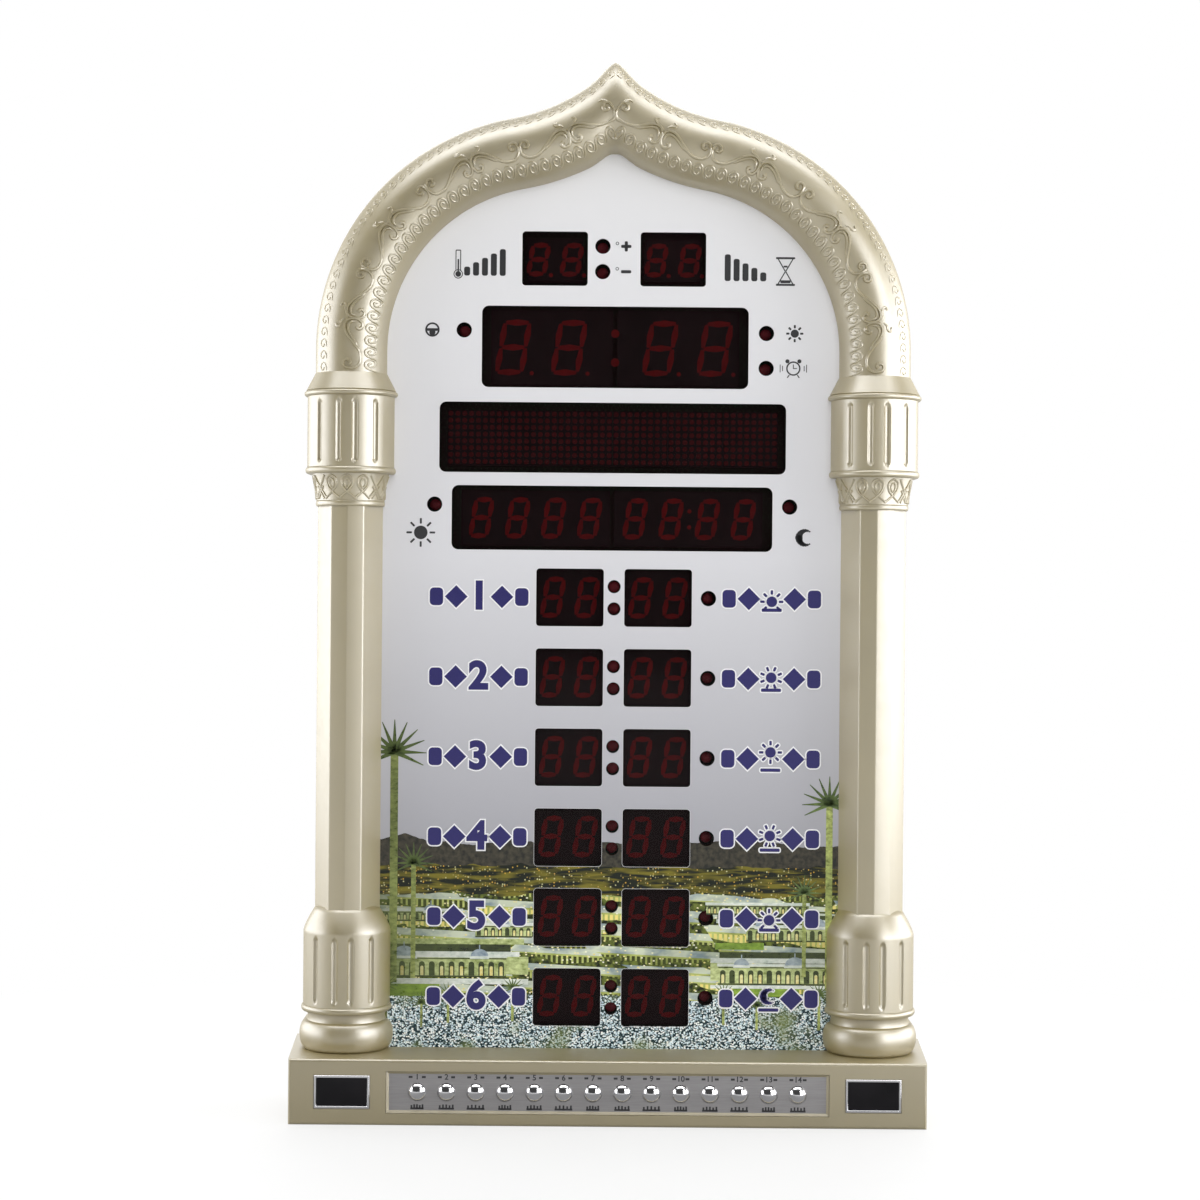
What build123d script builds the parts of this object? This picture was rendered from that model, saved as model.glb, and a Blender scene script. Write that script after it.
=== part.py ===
from build123d import *
from math import acos, asin, cos, degrees, radians, sin, sqrt, tan
import os

# Azan clock: an arched frame on two columns and a base, with digit displays behind a printed face.
# Millimetres. The clock stands on z = 0 and looks along -Y. The face's front surface is at y = 0.

# ---- Base ----
base_width = 280.0            # across its front
base_height = 29.0
base_reach = 30.0             # base front ahead of the face
base_draft = 3.4              # degrees by which each side opens towards the back
base_wall = 2.5
base_front_wall = 3.8
base_edge_radius = 1.5

# ---- Columns and arch ----
column_end = 22.3             # base's end to the column's axis
frame_wall = 2.2
frame_skirt = 12.0            # outer side walls, behind the face
band_half_width = 16.0        # arch moulding, half round
spring_drop = 2.3             # where the arch starts to turn, under the clock display's middle
arch_leg = 10.8               # straight part of the moulding over the capital
arch_radius = 90.4            # of the moulding's centre line
ogee_radius = 101.6           # of the counter-curve at the point
ogee_turn = 10.5              # degrees short of the top, where the curve turns over
shaft_radius = 14.6
shaft_shoulder_x = 7.3        # edge between a front and a side facet
shaft_shoulder_y = 12.9
torus_radius = 21.0
torus_height = 13.0
scotia_radius = 17.8
scotia_height = 4.0
ring_radius = 20.3
ring_height = 3.0
drum_radius = 19.5
drum_low_height = 33.0
shoulder_height = 10.0
neck_radius = 15.3
neck_ring_height = 2.5
necking_radius = 17.2         # at its top
necking_height = 12.0
drum_high_height = 31.6
flange_height = 2.5
cap_slope_height = 8.0
flute_angles = (10.7, 39.5)   # degrees either side of the front
flute_width = 2.6
flute_depth = 1.0
flute_margin = 2.0            # plain band above and below the flutes

# ---- Face ----
face_overlap = 4.0            # face sheet behind the moulding's inner foot
face_thickness = 1.5
filter_thickness = 2.0
window_corner = 3.0
small_window_corner = 1.5
pair_window = (29.5, 24.4)
pair_window_x = 26.6
pair_window_rise = 39.7       # over the clock display
clock_window = (120.0, 36.7)
clock_window_x = 0.8
clock_window_rise = 40.8      # over the dot matrix
matrix_window = (156.0, 31.7)
matrix_window_rise = 36.2     # over the date
date_window = (144.4, 29.0)
date_window_rise = 35.7       # over the top row
row_window = (30.4, 26.0)
row_window_pitch = 39.7       # between the hours and the minutes
row_x = 1.2
row_count = 6
row_pitch = 36.0
row_foot = 23.0               # lowest row over the base
dot_radius = 3.45
colon_dot_radius = 2.95
colon_dot_pitch = 10.0
row_dot_x = 43.7
scale_dot_x = -5.1
scale_dot_pitch = 11.4
noon_dot = (-67.2, 7.3)       # this and the next two from the clock display's middle height
summer_dot = (68.8, 6.8)
alarm_dot = (68.8, -8.9)
date_dot_x = 79.9
date_dot_rise = 5.8           # over the date's middle

# ---- Displays, on the main board ----
display_depth = 8.0
display_gap = 0.5             # between the filter and the displays
small_module = (25.2, 19.0)
large_module = (55.0, 34.0)
large_module_pitch = 57.0
row_module = (30.0, 25.0)
date_module = (67.0, 25.0)
date_module_pitch = 69.0
matrix_module = 24.7
matrix_pitch = 24.9
matrix_count = 6
led_radius = 2.5
board_thickness = 1.6
board_inset = 19.0            # main board's edge inside the band's centre line
board_foot = 7.0              # main board over the base
post_radius = 3.5
board_post_side = 29.7        # side posts to the column's axis
board_post_low = 6.0          # lowest posts over the board's foot
board_post_drop = 12.4        # highest side posts under the springing
board_top_post_rise = 69.6    # top post over the springing

# ---- Rear covers ----
cover_wall = 2.0
cover_gap = 0.3               # round the rear cover in the frame
cover_rim = 4.0               # rear cover's front rim behind the face
tube_radius = 4.8
tube_depth = 8.0              # where the cover's screw tubes meet the frame's posts
tube_floor = 2.0
frame_post_low = 15.0         # lowest post over the shaft's foot
frame_post_high = 17.0        # highest post under the shaft's head
arch_post_angle = 50.0
keyhole_x = 60.0
keyhole_lift = 39.6         # over the springing
keyhole_head_radius = 4.5
keyhole_neck = 4.8
keyhole_rise = 9.0
keyhole_pocket_depth = 8.0
keyhole_margin = 2.0
cover_edge_radius = 2.0
vent_size = (2.2, 22.0)
vent_count = 10
vent_pitch = 7.0
vent_drop = 20.4              # under the springing
slot_width = 2.0              # speaker slots
slot_count = 7
base_cover_thickness = 3.5
base_block = (10.0, 9.0)     # screw blocks behind the base, across and along
base_block_x = 60.0           # inner blocks
base_block_end = 12.0         # base's end to the outer blocks
wire_slot = (46.0, 10.0)      # from the base up into the body
wire_slot_x = 3.0
wire_slot_y = 17.0

# ---- Screws ----
screw_radius = 1.2
screw_length = 10.0
screw_head_radius = 2.7
screw_head_height = 1.8
screw_clearance = 0.4
pilot_clearance = 0.05
strip_screw_length = 6.0
head_sink = 0.2               # base screws' heads below the base's back
foot_screw_y = -6.0           # upright screws from the base into the columns
foot_post_height = 12.0

# ---- Control strip ----
strip_lift = 0.1              # over the middle of the base's height
strip_end = 42.8              # base's end to the strip
strip_height = 18.6
strip_recess = 1.4            # plate's front behind the base's front
strip_gap = 0.15
plate_thickness = 1.0
strip_lap = (5.2, 3.1)        # ledge behind the plate, at its ends and along it
button_count = 14
button_end = 13.675           # strip's end to the first button's axis
button_radius = 3.7
button_gap = 0.25
button_side = 0.5             # straight side ahead of the plate
button_dome = 1.8
button_travel = 0.4
button_rest_gap = 0.3         # between the flange and the plate
flange_radius = 4.6
flange_thickness = 0.8
stem_radius = 1.6
stem_length = 2.5
plunger_radius = 1.7
plunger_length = 2.2
plunger_show = 1.0            # plunger ahead of its switch
plunger_gap = 0.2
switch_size = 6.0
switch_depth = 3.5
strip_board_end = 13.0        # base's end to the button board
strip_board_height = 18.6
strip_post_end = 42.0         # base's end to the board's posts
strip_post_radius = 2.6

# ---- Sensor windows ----
sensor_end = 23.5             # base's end to the window's middle
sensor_window = (24.5, 14.6)
bezel_width = 1.2
bezel_proud = 0.4
bezel_depth = 1.0             # seat in the base's front
lens_gap = 0.1
lens_sunk = 0.1
sensor_opening = (19.0, 9.0)
receiver_size = (6.0, 7.0)
receiver_depth = 4.0
receiver_eye = 2.4

# ---- Speaker ----
speaker_z = 105.0
speaker_radius = 26.0
speaker_flange = 4.5
speaker_flange_thickness = 1.5
speaker_wall = 1.0
speaker_basket_radius = 13.0
speaker_basket_depth = 7.5
magnet_radius = 11.5
coil_opening = 9.0            # radius of the hole in the basket's floor
magnet_depth = 4.0
cone_wall = 0.6
cone_clearance = 0.6
cone_bottom_radius = 7.0
cone_bottom_depth = 4.5

# ---- Power inlet, backup cell and parts on the main board ----
jack_end = 40.0               # base's end to the inlet
jack_size = (9.0, 14.0, 11.0)
jack_hole_radius = 2.85
jack_hole_depth = 9.5
jack_pin_radius = 1.0
jack_pin_short = 0.8
jack_opening_radius = 4.2
cell_x = -60.0
cell_z = 205.0
cell_radius = 10.0
cell_thickness = 3.2
holder_radius = 11.6
holder_floor = 1.0
holder_height = 4.0
chip_height = 1.6
controller_size = 14.0
controller_z = 180.0
driver_size = (18.0, 7.5)
driver_count = 6
driver_x = 60.0
capacitor_radius = 4.0
capacitor_height = 11.0
capacitor_count = 3
capacitor_pitch = 11.0
capacitor_x = -60.0
capacitor_z = 70.0
ribbon_width = 33.0
ribbon_thickness = 1.0
ribbon_plug = (36.0, 5.0, 6.0)
ribbon_top_z = 56.0
ribbon_low_z = 12.0
lead_radius = 1.1
lead_plug = (8.0, 6.0, 6.0)
lead_bend = 4.8
power_lead_x = 22.0
power_plug_z = 60.0
speaker_plug_x = 42.0
speaker_lead_end = (19.7, -14.0)  # on the speaker's flange, from its middle

# ---- Places that follow ----
pilot_radius = screw_radius + pilot_clearance
hole_radius = screw_radius + screw_clearance
well_radius = screw_head_radius + screw_clearance
front_y = -base_reach
button_tip_y = front_y + strip_recess - button_side - button_dome
back_y = -button_tip_y        # keeps the origin in the middle of the depth
column_x = base_width / 2 - column_end
base_screw_x = [side * x for x in (base_block_x, base_width / 2 - base_block_end) for side in (-1, 1)]
sensor_x = base_width / 2 - sensor_end
jack_x = base_width / 2 - jack_end
strip_z = base_height / 2 + strip_lift
strip_size = (base_width - 2 * strip_end, strip_height)
strip_opening = (strip_size[0] - 2 * strip_lap[0], strip_size[1] - 2 * strip_lap[1])
button_pitch = (strip_size[0] - 2 * button_end) / (button_count - 1)
strip_board = (base_width - 2 * strip_board_end, strip_board_height)
strip_post_x = base_width / 2 - strip_post_end
row_z = [base_height + row_foot + row_pitch * i for i in reversed(range(row_count))]
date_window_z = row_z[0] + date_window_rise
matrix_window_z = date_window_z + matrix_window_rise
clock_window_z = matrix_window_z + clock_window_rise
pair_window_z = clock_window_z + pair_window_rise
spring_z = clock_window_z - spring_drop
arch_x = column_x - arch_radius
turn_sin = sin(radians(ogee_turn))
turn_cos = cos(radians(ogee_turn))
ogee_x = arch_x + (arch_radius + ogee_radius) * turn_sin
ogee_z = spring_z + (arch_radius + ogee_radius) * turn_cos
ogee_sweep = 90 - ogee_turn - degrees(acos(ogee_x / (ogee_radius - band_half_width))) + 1
torus_z = base_height + torus_height
scotia_z = torus_z + scotia_height
ring_z = scotia_z + ring_height
drum_low_z = ring_z + drum_low_height
shoulder_z = drum_low_z + shoulder_height
flange_z = spring_z - arch_leg - cap_slope_height
drum_high_top = flange_z - flange_height
drum_high_foot = drum_high_top - drum_high_height
necking_z = drum_high_foot - ring_height
neck_z = necking_z - necking_height
shaft_high_z = neck_z - neck_ring_height
arch_post = (arch_x + arch_radius * cos(radians(arch_post_angle)),
             spring_z + arch_radius * sin(radians(arch_post_angle)))
face_offset = face_overlap - band_half_width
filter_back = face_thickness + filter_thickness
display_front = filter_back + display_gap
board_front = display_front + display_depth
board_back = board_front + board_thickness
board_floor = base_height + board_foot
board_post_low_z = board_floor + board_post_low
board_post_high_z = spring_z - board_post_drop
board_post_z = (board_post_high_z, (board_post_high_z + board_post_low_z) / 2, board_post_low_z)
board_posts = [(side * (column_x - board_post_side), z) for z in board_post_z for side in (-1, 1)]
board_posts.append((0, spring_z + board_top_post_rise))
keyhole_z = spring_z + keyhole_lift
vent_z = spring_z - vent_drop
frame_post_high_z = shaft_high_z - frame_post_high
frame_post_low_z = shoulder_z + frame_post_low
frame_post_z = (frame_post_high_z, (frame_post_high_z + frame_post_low_z) / 2, frame_post_low_z)
right_case_posts = [(column_x, z) for z in frame_post_z] + [arch_post]
case_posts = [(side * x, z) for x, z in right_case_posts for side in (-1, 1)]
cover_inner = back_y - cover_wall
cover_offset = shaft_radius - frame_wall - cover_gap
base_cover_inner = back_y - base_cover_thickness
base_head_y = back_y - screw_head_height - head_sink
plate_front = front_y + strip_recess
plate_back = plate_front + plate_thickness
flange_front = plate_back + button_rest_gap
flange_back = flange_front + flange_thickness
stem_back = flange_back + stem_length
switch_front = stem_back + plunger_show
strip_board_front = switch_front + switch_depth
strip_board_back = strip_board_front + board_thickness
speaker_front = cover_inner - speaker_flange_thickness
ribbon_y = board_back + ribbon_plug[1] / 2
lead_y = board_back + lead_plug[1] / 2


def block(low, high):
    """Box between two opposite corners."""
    size = [b - a for a, b in zip(low, high)]
    middle = [(a + b) / 2 for a, b in zip(low, high)]
    return Pos(*middle) * Box(*size)


def rod(x, z, radius, front, back):
    """Cylinder along Y between two depths."""
    return Pos(x, (front + back) / 2, z) * Rot(90, 0, 0) * Cylinder(radius, back - front)


def slab(face, front, back):
    """A flat shape drawn in X and Z, extruded between two depths."""
    return Pos(0, back, 0) * extrude(Plane.XZ * face, back - front)


def upright(x, y, radius, low, high):
    """Cylinder along Z between two heights."""
    return Pos(x, y, (low + high) / 2) * Cylinder(radius, high - low)


def panel(x, z, size, front, back, corner=0.0):
    """Rectangular plate, upright, between two depths."""
    shape = RectangleRounded(*size, corner) if corner else Rectangle(*size)
    return slab(Pos(x, z) * shape, front, back)


def both_sides(shape):
    """A shape and its mirror image."""
    return [shape, mirror(shape, about=Plane.YZ)]


def fuse(shapes):
    """One solid out of several."""
    first, *rest = shapes
    return first + rest


def on_circle(centre, radius, angle):
    """Point at an angle in degrees from +X towards +Z."""
    return (centre[0] + radius * cos(radians(angle)), centre[1] + radius * sin(radians(angle)))


# ---- Outline shared by the face, the boards and the rear cover ----

def body_outline(offset, floor):
    """Arched outline at a distance outside the moulding's centre line."""
    side = column_x + offset
    large = arch_radius + offset
    small = ogee_radius - offset
    turn = (arch_x + large * turn_sin, spring_z + large * turn_cos)
    apex = (0.0, ogee_z - sqrt(small**2 - ogee_x**2))
    half_turn = (90.0 - ogee_turn) / 2
    arch_middle = on_circle((arch_x, spring_z), large, half_turn)
    ogee_middle_x = turn[0] / 2
    ogee_middle = (ogee_middle_x, ogee_z - sqrt(small**2 - (ogee_x - ogee_middle_x)**2))
    right = [
        Line((0, floor), (side, floor)),
        Line((side, floor), (side, spring_z)),
        ThreePointArc((side, spring_z), arch_middle, turn),
        ThreePointArc(turn, ogee_middle, apex),
    ]
    left = [mirror(edge, about=Plane.YZ) for edge in right]
    return make_face(right + left)


# ---- Frame: arch and columns, one moulding ----

def band_section():
    """Wall section of the arch moulding, drawn level at the springing."""
    half = band_half_width
    inner = half - frame_wall
    edges = [
        ThreePointArc((-half, 0), (0, -half), (half, 0)),
        Line((half, 0), (half, frame_skirt)),
        Line((half, frame_skirt), (inner, frame_skirt)),
        Line((inner, frame_skirt), (inner, 0)),
        ThreePointArc((inner, 0), (0, -inner), (-inner, 0)),
        Line((-inner, 0), (-half, 0)),
    ]
    return Pos(column_x, 0, spring_z) * make_face(edges)


def arch_half():
    """Right half of the arch: a straight leg, the main curve and the counter-curve."""
    section = band_section()
    leg = extrude(section, amount=spring_z - flange_z, dir=(0, 0, -1))
    main_axis = Axis((arch_x, 0, spring_z), (0, -1, 0))
    curve = revolve(section, axis=main_axis, revolution_arc=90 - ogee_turn)
    turned_section = section.rotate(main_axis, 90 - ogee_turn)
    ogee_axis = Axis((ogee_x, 0, ogee_z), (0, 1, 0))
    point = revolve(turned_section, axis=ogee_axis, revolution_arc=ogee_sweep)
    reach = arch_radius + band_half_width
    right_side = block((0, -reach, spring_z), (2 * reach, reach, spring_z + 2 * reach))
    return [leg, curve, point & right_side]


def wall_of(edges, inner):
    """Wall section between an outline in radius and height and the points of its inside, top first."""
    outer = Wire([edge for part in edges for edge in part.edges()])
    inside = Polyline(outer @ 1, *inner, outer @ 0)
    return make_face(outer.edges() + inside.edges())


def turned(profile):
    """Front half of a turned moulding on the column, its outer side carried back as a skirt."""
    front = revolve(Plane.XZ * profile, axis=Axis((0, 0, 0), (0, 0, -1)), revolution_arc=180)
    skirt = slab(profile, 0, frame_skirt)
    return [Pos(column_x, 0, 0) * front, Pos(column_x, 0, 0) * skirt]


def foot_post():
    """Post on the column's floor for the screw that holds it to the base."""
    return upright(column_x, foot_screw_y, post_radius, base_height, base_height + foot_post_height)


def foot_pilot():
    tip = base_height - base_wall + screw_length
    return upright(column_x, foot_screw_y, pilot_radius, base_height, tip)


def column_foot():
    """Torus, scotia, ring, drum and shoulder."""
    torus_middle = base_height + torus_height / 2
    shoulder_middle = (drum_radius + shaft_radius) / 2 + frame_wall / 4
    edges = [
        ThreePointArc((scotia_radius, base_height), (torus_radius, torus_middle),
                      (scotia_radius, torus_z)),
        Polyline((scotia_radius, torus_z), (scotia_radius, scotia_z), (ring_radius, scotia_z),
                 (ring_radius, ring_z), (drum_radius, ring_z), (drum_radius, drum_low_z)),
        ThreePointArc((drum_radius, drum_low_z), (shoulder_middle, drum_low_z + shoulder_height / 2),
                      (shaft_radius, shoulder_z)),
    ]
    core = scotia_radius - frame_wall
    inner = [(shaft_radius - frame_wall, shoulder_z), (core, drum_low_z), (core, base_height)]
    floor = Pos(scotia_radius / 2, base_height + frame_wall / 2) * Rectangle(scotia_radius, frame_wall)
    return turned(wall_of(edges, inner)) + turned(floor)[:1] + [foot_post()]


def column_head():
    """Neck ring, necking, ring, drum, flange and the slope up to the arch."""
    necking_middle = (neck_radius + (necking_radius - neck_radius) / 3, neck_z + necking_height / 2)
    edges = [
        Polyline((neck_radius, shaft_high_z), (neck_radius, neck_z)),
        ThreePointArc((neck_radius, neck_z), necking_middle, (necking_radius, necking_z)),
        Polyline((necking_radius, necking_z), (ring_radius, necking_z), (ring_radius, drum_high_foot),
                 (drum_radius, drum_high_foot), (drum_radius, drum_high_top),
                 (torus_radius, drum_high_top), (torus_radius, flange_z),
                 (band_half_width, flange_z + cap_slope_height)),
    ]
    core, neck = drum_radius - frame_wall, neck_radius - frame_wall
    inner = [(band_half_width - frame_wall, flange_z + cap_slope_height), (core, flange_z),
             (core, drum_high_foot), (necking_radius - frame_wall, necking_z), (neck, neck_z),
             (neck, shaft_high_z)]
    return turned(wall_of(edges, inner))


def shaft():
    """Faceted shaft: two facets to the front and one to each side, open at the back."""
    lean = (shaft_radius - frame_wall) / shaft_radius
    corners = [(shaft_radius, 0), (shaft_shoulder_x, -shaft_shoulder_y), (0, -shaft_radius),
               (-shaft_shoulder_x, -shaft_shoulder_y), (-shaft_radius, 0)]
    outer = [(shaft_radius, frame_skirt)] + corners
    inner = [(x * lean, y * lean) for x, y in reversed(corners)]
    inner.append((shaft_radius * lean, frame_skirt))
    face = make_face(Polyline(*outer, *inner, close=True))
    low, high = shoulder_z - frame_wall, shaft_high_z + frame_wall
    return Pos(column_x, 0, low) * extrude(face, high - low)


def flutes(low, high):
    """Round-ended grooves down the front of a drum."""
    length = high - low - 2 * flute_margin
    outline = Rot(0, 0, 90) * SlotOverall(length, flute_width)
    groove = slab(outline, -drum_radius - flute_depth, -drum_radius + flute_depth)
    return [Pos(column_x, 0, (low + high) / 2) * Rot(0, 0, side * angle) * groove
            for angle in flute_angles for side in (-1, 1)]


def screw_post(x, z, front):
    """Hollow post that takes a screw from behind."""
    post = rod(x, z, post_radius, front, tube_depth)
    pilot = rod(x, z, pilot_radius, tube_depth - screw_length, tube_depth)
    return post - pilot


def arch_frame():
    crown_front = -band_half_width + frame_wall / 2
    shaft_front = -shaft_radius + frame_wall * 0.7
    posts = [screw_post(column_x, z, shaft_front) for z in frame_post_z]
    posts.append(screw_post(*arch_post, crown_front))
    half = fuse(arch_half() + column_foot() + [shaft()] + column_head() + posts)
    half -= flutes(ring_z, drum_low_z) + flutes(drum_high_foot, drum_high_top) + [foot_pilot()]
    return fuse(both_sides(half))


# ---- Base ----

def base_half_width(y, inset=0.0):
    """Half of the base's width at a depth."""
    return base_width / 2 + (y - front_y) * tan(radians(base_draft)) - inset


def base_block_shape(x):
    """Block behind the base's front that takes a screw of the base cover."""
    width, length = base_block
    shape = block((x - width / 2, base_cover_inner - length, base_wall / 2),
                  (x + width / 2, base_cover_inner, base_height - base_wall / 2))
    tip = base_head_y - screw_length
    return shape - rod(x, strip_z, pilot_radius, tip, base_cover_inner)


def base_housing():
    front, back = base_half_width(front_y), base_half_width(back_y)
    plan = make_face(Polyline((-front, front_y), (front, front_y), (back, back_y), (-back, back_y),
                              close=True))
    shell = extrude(plan, base_height)
    front_edges = shell.faces().sort_by(Axis.Y)[0].edges()
    shell = fillet(front_edges, base_edge_radius)
    inner_front_y = front_y + base_front_wall
    inner_front = base_half_width(inner_front_y, base_wall)
    inner_back = base_half_width(back_y, base_wall)
    hollow = make_face(Polyline((-inner_front, inner_front_y), (inner_front, inner_front_y),
                                (inner_back, back_y), (-inner_back, back_y), close=True))
    shell -= Pos(0, 0, base_wall) * extrude(hollow, base_height - 2 * base_wall)
    shell -= panel(0, strip_z, strip_size, front_y, plate_back)
    shell -= panel(0, strip_z, strip_opening, front_y, inner_front_y)
    seat = (sensor_window[0] + 2 * strip_gap, sensor_window[1] + 2 * strip_gap)
    for x in (-sensor_x, sensor_x):
        shell -= panel(x, strip_z, seat, front_y, front_y + bezel_depth)
        shell -= panel(x, strip_z, sensor_opening, front_y, inner_front_y)
    shell -= wire_opening(base_height - base_wall, base_height)
    for x in (-column_x, column_x):
        shell -= upright(x, foot_screw_y, hole_radius, base_height - base_wall, base_height)
    blocks = [base_block_shape(x) for x in base_screw_x]
    posts = []
    for x in (-strip_post_x, strip_post_x):
        post = rod(x, strip_z, strip_post_radius, inner_front_y, strip_board_front)
        pilot_front = strip_board_back - strip_screw_length
        posts.append(post - rod(x, strip_z, pilot_radius, pilot_front, strip_board_front))
    return fuse([shell] + blocks + posts)


def wire_opening(low, high):
    """Opening for the wires between the base and the body."""
    width, depth = wire_slot
    return block((wire_slot_x - width / 2, wire_slot_y - depth / 2, low),
                 (wire_slot_x + width / 2, wire_slot_y + depth / 2, high))


def base_cover():
    """Plate that closes the base's back, with the power inlet's opening."""
    half = base_half_width(base_cover_inner, base_wall + cover_gap)
    low, high = base_wall + cover_gap, base_height - base_wall - cover_gap
    plate = block((-half, base_cover_inner, low), (half, back_y, high))
    holes = [rod(x, strip_z, hole_radius, base_cover_inner, back_y) for x in base_screw_x]
    wells = [rod(x, strip_z, well_radius, base_head_y, back_y) for x in base_screw_x]
    return plate - (holes + wells + [rod(jack_x, strip_z, jack_opening_radius, base_cover_inner, back_y)])


# ---- Rear cover ----

def screw_tube(x, z):
    """Sunk tube with a floor that a case screw's head rests on."""
    return rod(x, z, tube_radius, tube_depth, back_y)


def screw_bore(x, z):
    """Screw hole and head well through a tube."""
    head = rod(x, z, well_radius, tube_depth + tube_floor, back_y)
    return head + rod(x, z, hole_radius, tube_depth, back_y)


def keyhole_pocket(x):
    """Closed pocket behind a hanging keyhole."""
    width = 2 * (keyhole_head_radius + keyhole_margin + cover_wall)
    height = width + keyhole_rise
    front = cover_inner - keyhole_pocket_depth
    outer = panel(x, keyhole_z + keyhole_rise / 2, (width, height), front, cover_inner)
    inner_size = (width - 2 * cover_wall, height - 2 * cover_wall)
    return outer - panel(x, keyhole_z + keyhole_rise / 2, inner_size, front + cover_wall, cover_inner)


def keyhole(x):
    """Round entry with a narrow slot above it."""
    entry = rod(x, keyhole_z, keyhole_head_radius, cover_inner, back_y)
    neck = panel(x, keyhole_z + keyhole_rise / 2, (keyhole_neck, keyhole_rise), cover_inner, back_y)
    top = rod(x, keyhole_z + keyhole_rise, keyhole_neck / 2, cover_inner, back_y)
    return entry + neck + top


def speaker_slots():
    """Level slots inside the speaker's round."""
    reach = speaker_radius - speaker_flange
    rises = [((2 * i + 2) / (slot_count + 1) - 1) * reach for i in range(slot_count)]
    return [panel(0, speaker_z + rise, (2 * sqrt(reach**2 - rise**2), slot_width), cover_inner, back_y)
            for rise in rises]


def vents():
    """Upright slots that let warm air out."""
    return [panel((i - (vent_count - 1) / 2) * vent_pitch, vent_z, vent_size, cover_inner, back_y)
            for i in range(vent_count)]


def rear_cover():
    outer = slab(body_outline(cover_offset, base_height), cover_rim, back_y)
    outer = fillet(outer.faces().sort_by(Axis.Y)[-1].edges(), cover_edge_radius)
    inner = slab(body_outline(cover_offset - cover_wall, base_height + cover_wall), cover_rim, cover_inner)
    shapes = [outer - inner] + [screw_tube(x, z) for x, z in case_posts]
    shapes += [keyhole_pocket(x) for x in (-keyhole_x, keyhole_x)]
    for x, z in board_posts:
        post = rod(x, z, post_radius, board_back, cover_inner)
        shapes.append(post - rod(x, z, pilot_radius, board_back, board_back + screw_length))
    cover = fuse(shapes)
    tools = [screw_bore(x, z) for x, z in case_posts] + speaker_slots() + vents()
    tools += [keyhole(x) for x in (-keyhole_x, keyhole_x)]
    tools.append(wire_opening(base_height, base_height + cover_wall))
    return cover - tools


# ---- Face, filter and main board ----

def dot_places():
    """Round lamp windows beside the displays."""
    scale_dots = [(scale_dot_x, pair_window_z + side * scale_dot_pitch / 2) for side in (1, -1)]
    clock_dots = [(x, clock_window_z + rise) for x, rise in (noon_dot, summer_dot, alarm_dot)]
    date_dots = [(side * date_dot_x, date_window_z + date_dot_rise) for side in (-1, 1)]
    row_dots = [(row_dot_x, z) for z in row_z]
    return scale_dots + clock_dots + date_dots + row_dots


def colon_places():
    return [(row_x, z + side * colon_dot_pitch / 2) for z in row_z for side in (1, -1)]


def face_panel():
    sheet = slab(body_outline(face_offset, base_height), 0, face_thickness)
    windows = [((side * pair_window_x, pair_window_z), pair_window, small_window_corner) for side in (-1, 1)]
    windows += [
        ((clock_window_x, clock_window_z), clock_window, window_corner),
        ((0, matrix_window_z), matrix_window, window_corner),
        ((0, date_window_z), date_window, window_corner),
    ]
    for z in row_z:
        windows += [((row_x + side * row_window_pitch / 2, z), row_window, small_window_corner)
                    for side in (-1, 1)]
    tools = [panel(x, z, size, 0, face_thickness, corner) for (x, z), size, corner in windows]
    tools += [rod(x, z, dot_radius, 0, face_thickness) for x, z in dot_places()]
    tools += [rod(x, z, colon_dot_radius, 0, face_thickness) for x, z in colon_places()]
    return sheet - tools


def display_filter():
    return slab(body_outline(face_offset, base_height), face_thickness, filter_back)


def main_board():
    board = slab(body_outline(-board_inset, board_floor), board_front, board_back)
    holes = [rod(x, z, hole_radius, board_front, board_back) for x, z in board_posts]
    return board - holes


def module(x, z, size):
    """Display block standing on the main board."""
    return panel(x, z, size, display_front, board_front)


def displays():
    """Every display, by name, as a list of blocks."""
    parts = {
        "temperature_display": [module(-pair_window_x, pair_window_z, small_module)],
        "countdown_display": [module(pair_window_x, pair_window_z, small_module)],
        "clock_display": [module(clock_window_x + side * large_module_pitch / 2, clock_window_z, large_module)
                          for side in (-1, 1)],
        "matrix_display": [module((i - (matrix_count - 1) / 2) * matrix_pitch, matrix_window_z,
                                  (matrix_module, matrix_module)) for i in range(matrix_count)],
        "left_date_display": [module(-date_module_pitch / 2, date_window_z, date_module)],
        "right_date_display": [module(date_module_pitch / 2, date_window_z, date_module)],
    }
    for i, z in enumerate(row_z):
        parts[f"row_{i + 1}_display"] = [module(row_x + side * row_window_pitch / 2, z, row_module)
                                         for side in (-1, 1)]
    return parts


def lamp(x, z):
    """Round lamp with a domed tip, standing on the main board."""
    body = rod(x, z, led_radius, display_front + led_radius, board_front)
    return body + Pos(x, display_front + led_radius, z) * Sphere(led_radius)


# ---- Control strip in the base's front ----

def button_places():
    return [(i - (button_count - 1) / 2) * button_pitch for i in range(button_count)]


def control_plate():
    size = (strip_size[0] - 2 * strip_gap, strip_size[1] - 2 * strip_gap)
    plate = panel(0, strip_z, size, plate_front, plate_back)
    holes = [rod(x, strip_z, button_radius + button_gap, plate_front, plate_back) for x in button_places()]
    return plate - holes


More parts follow.
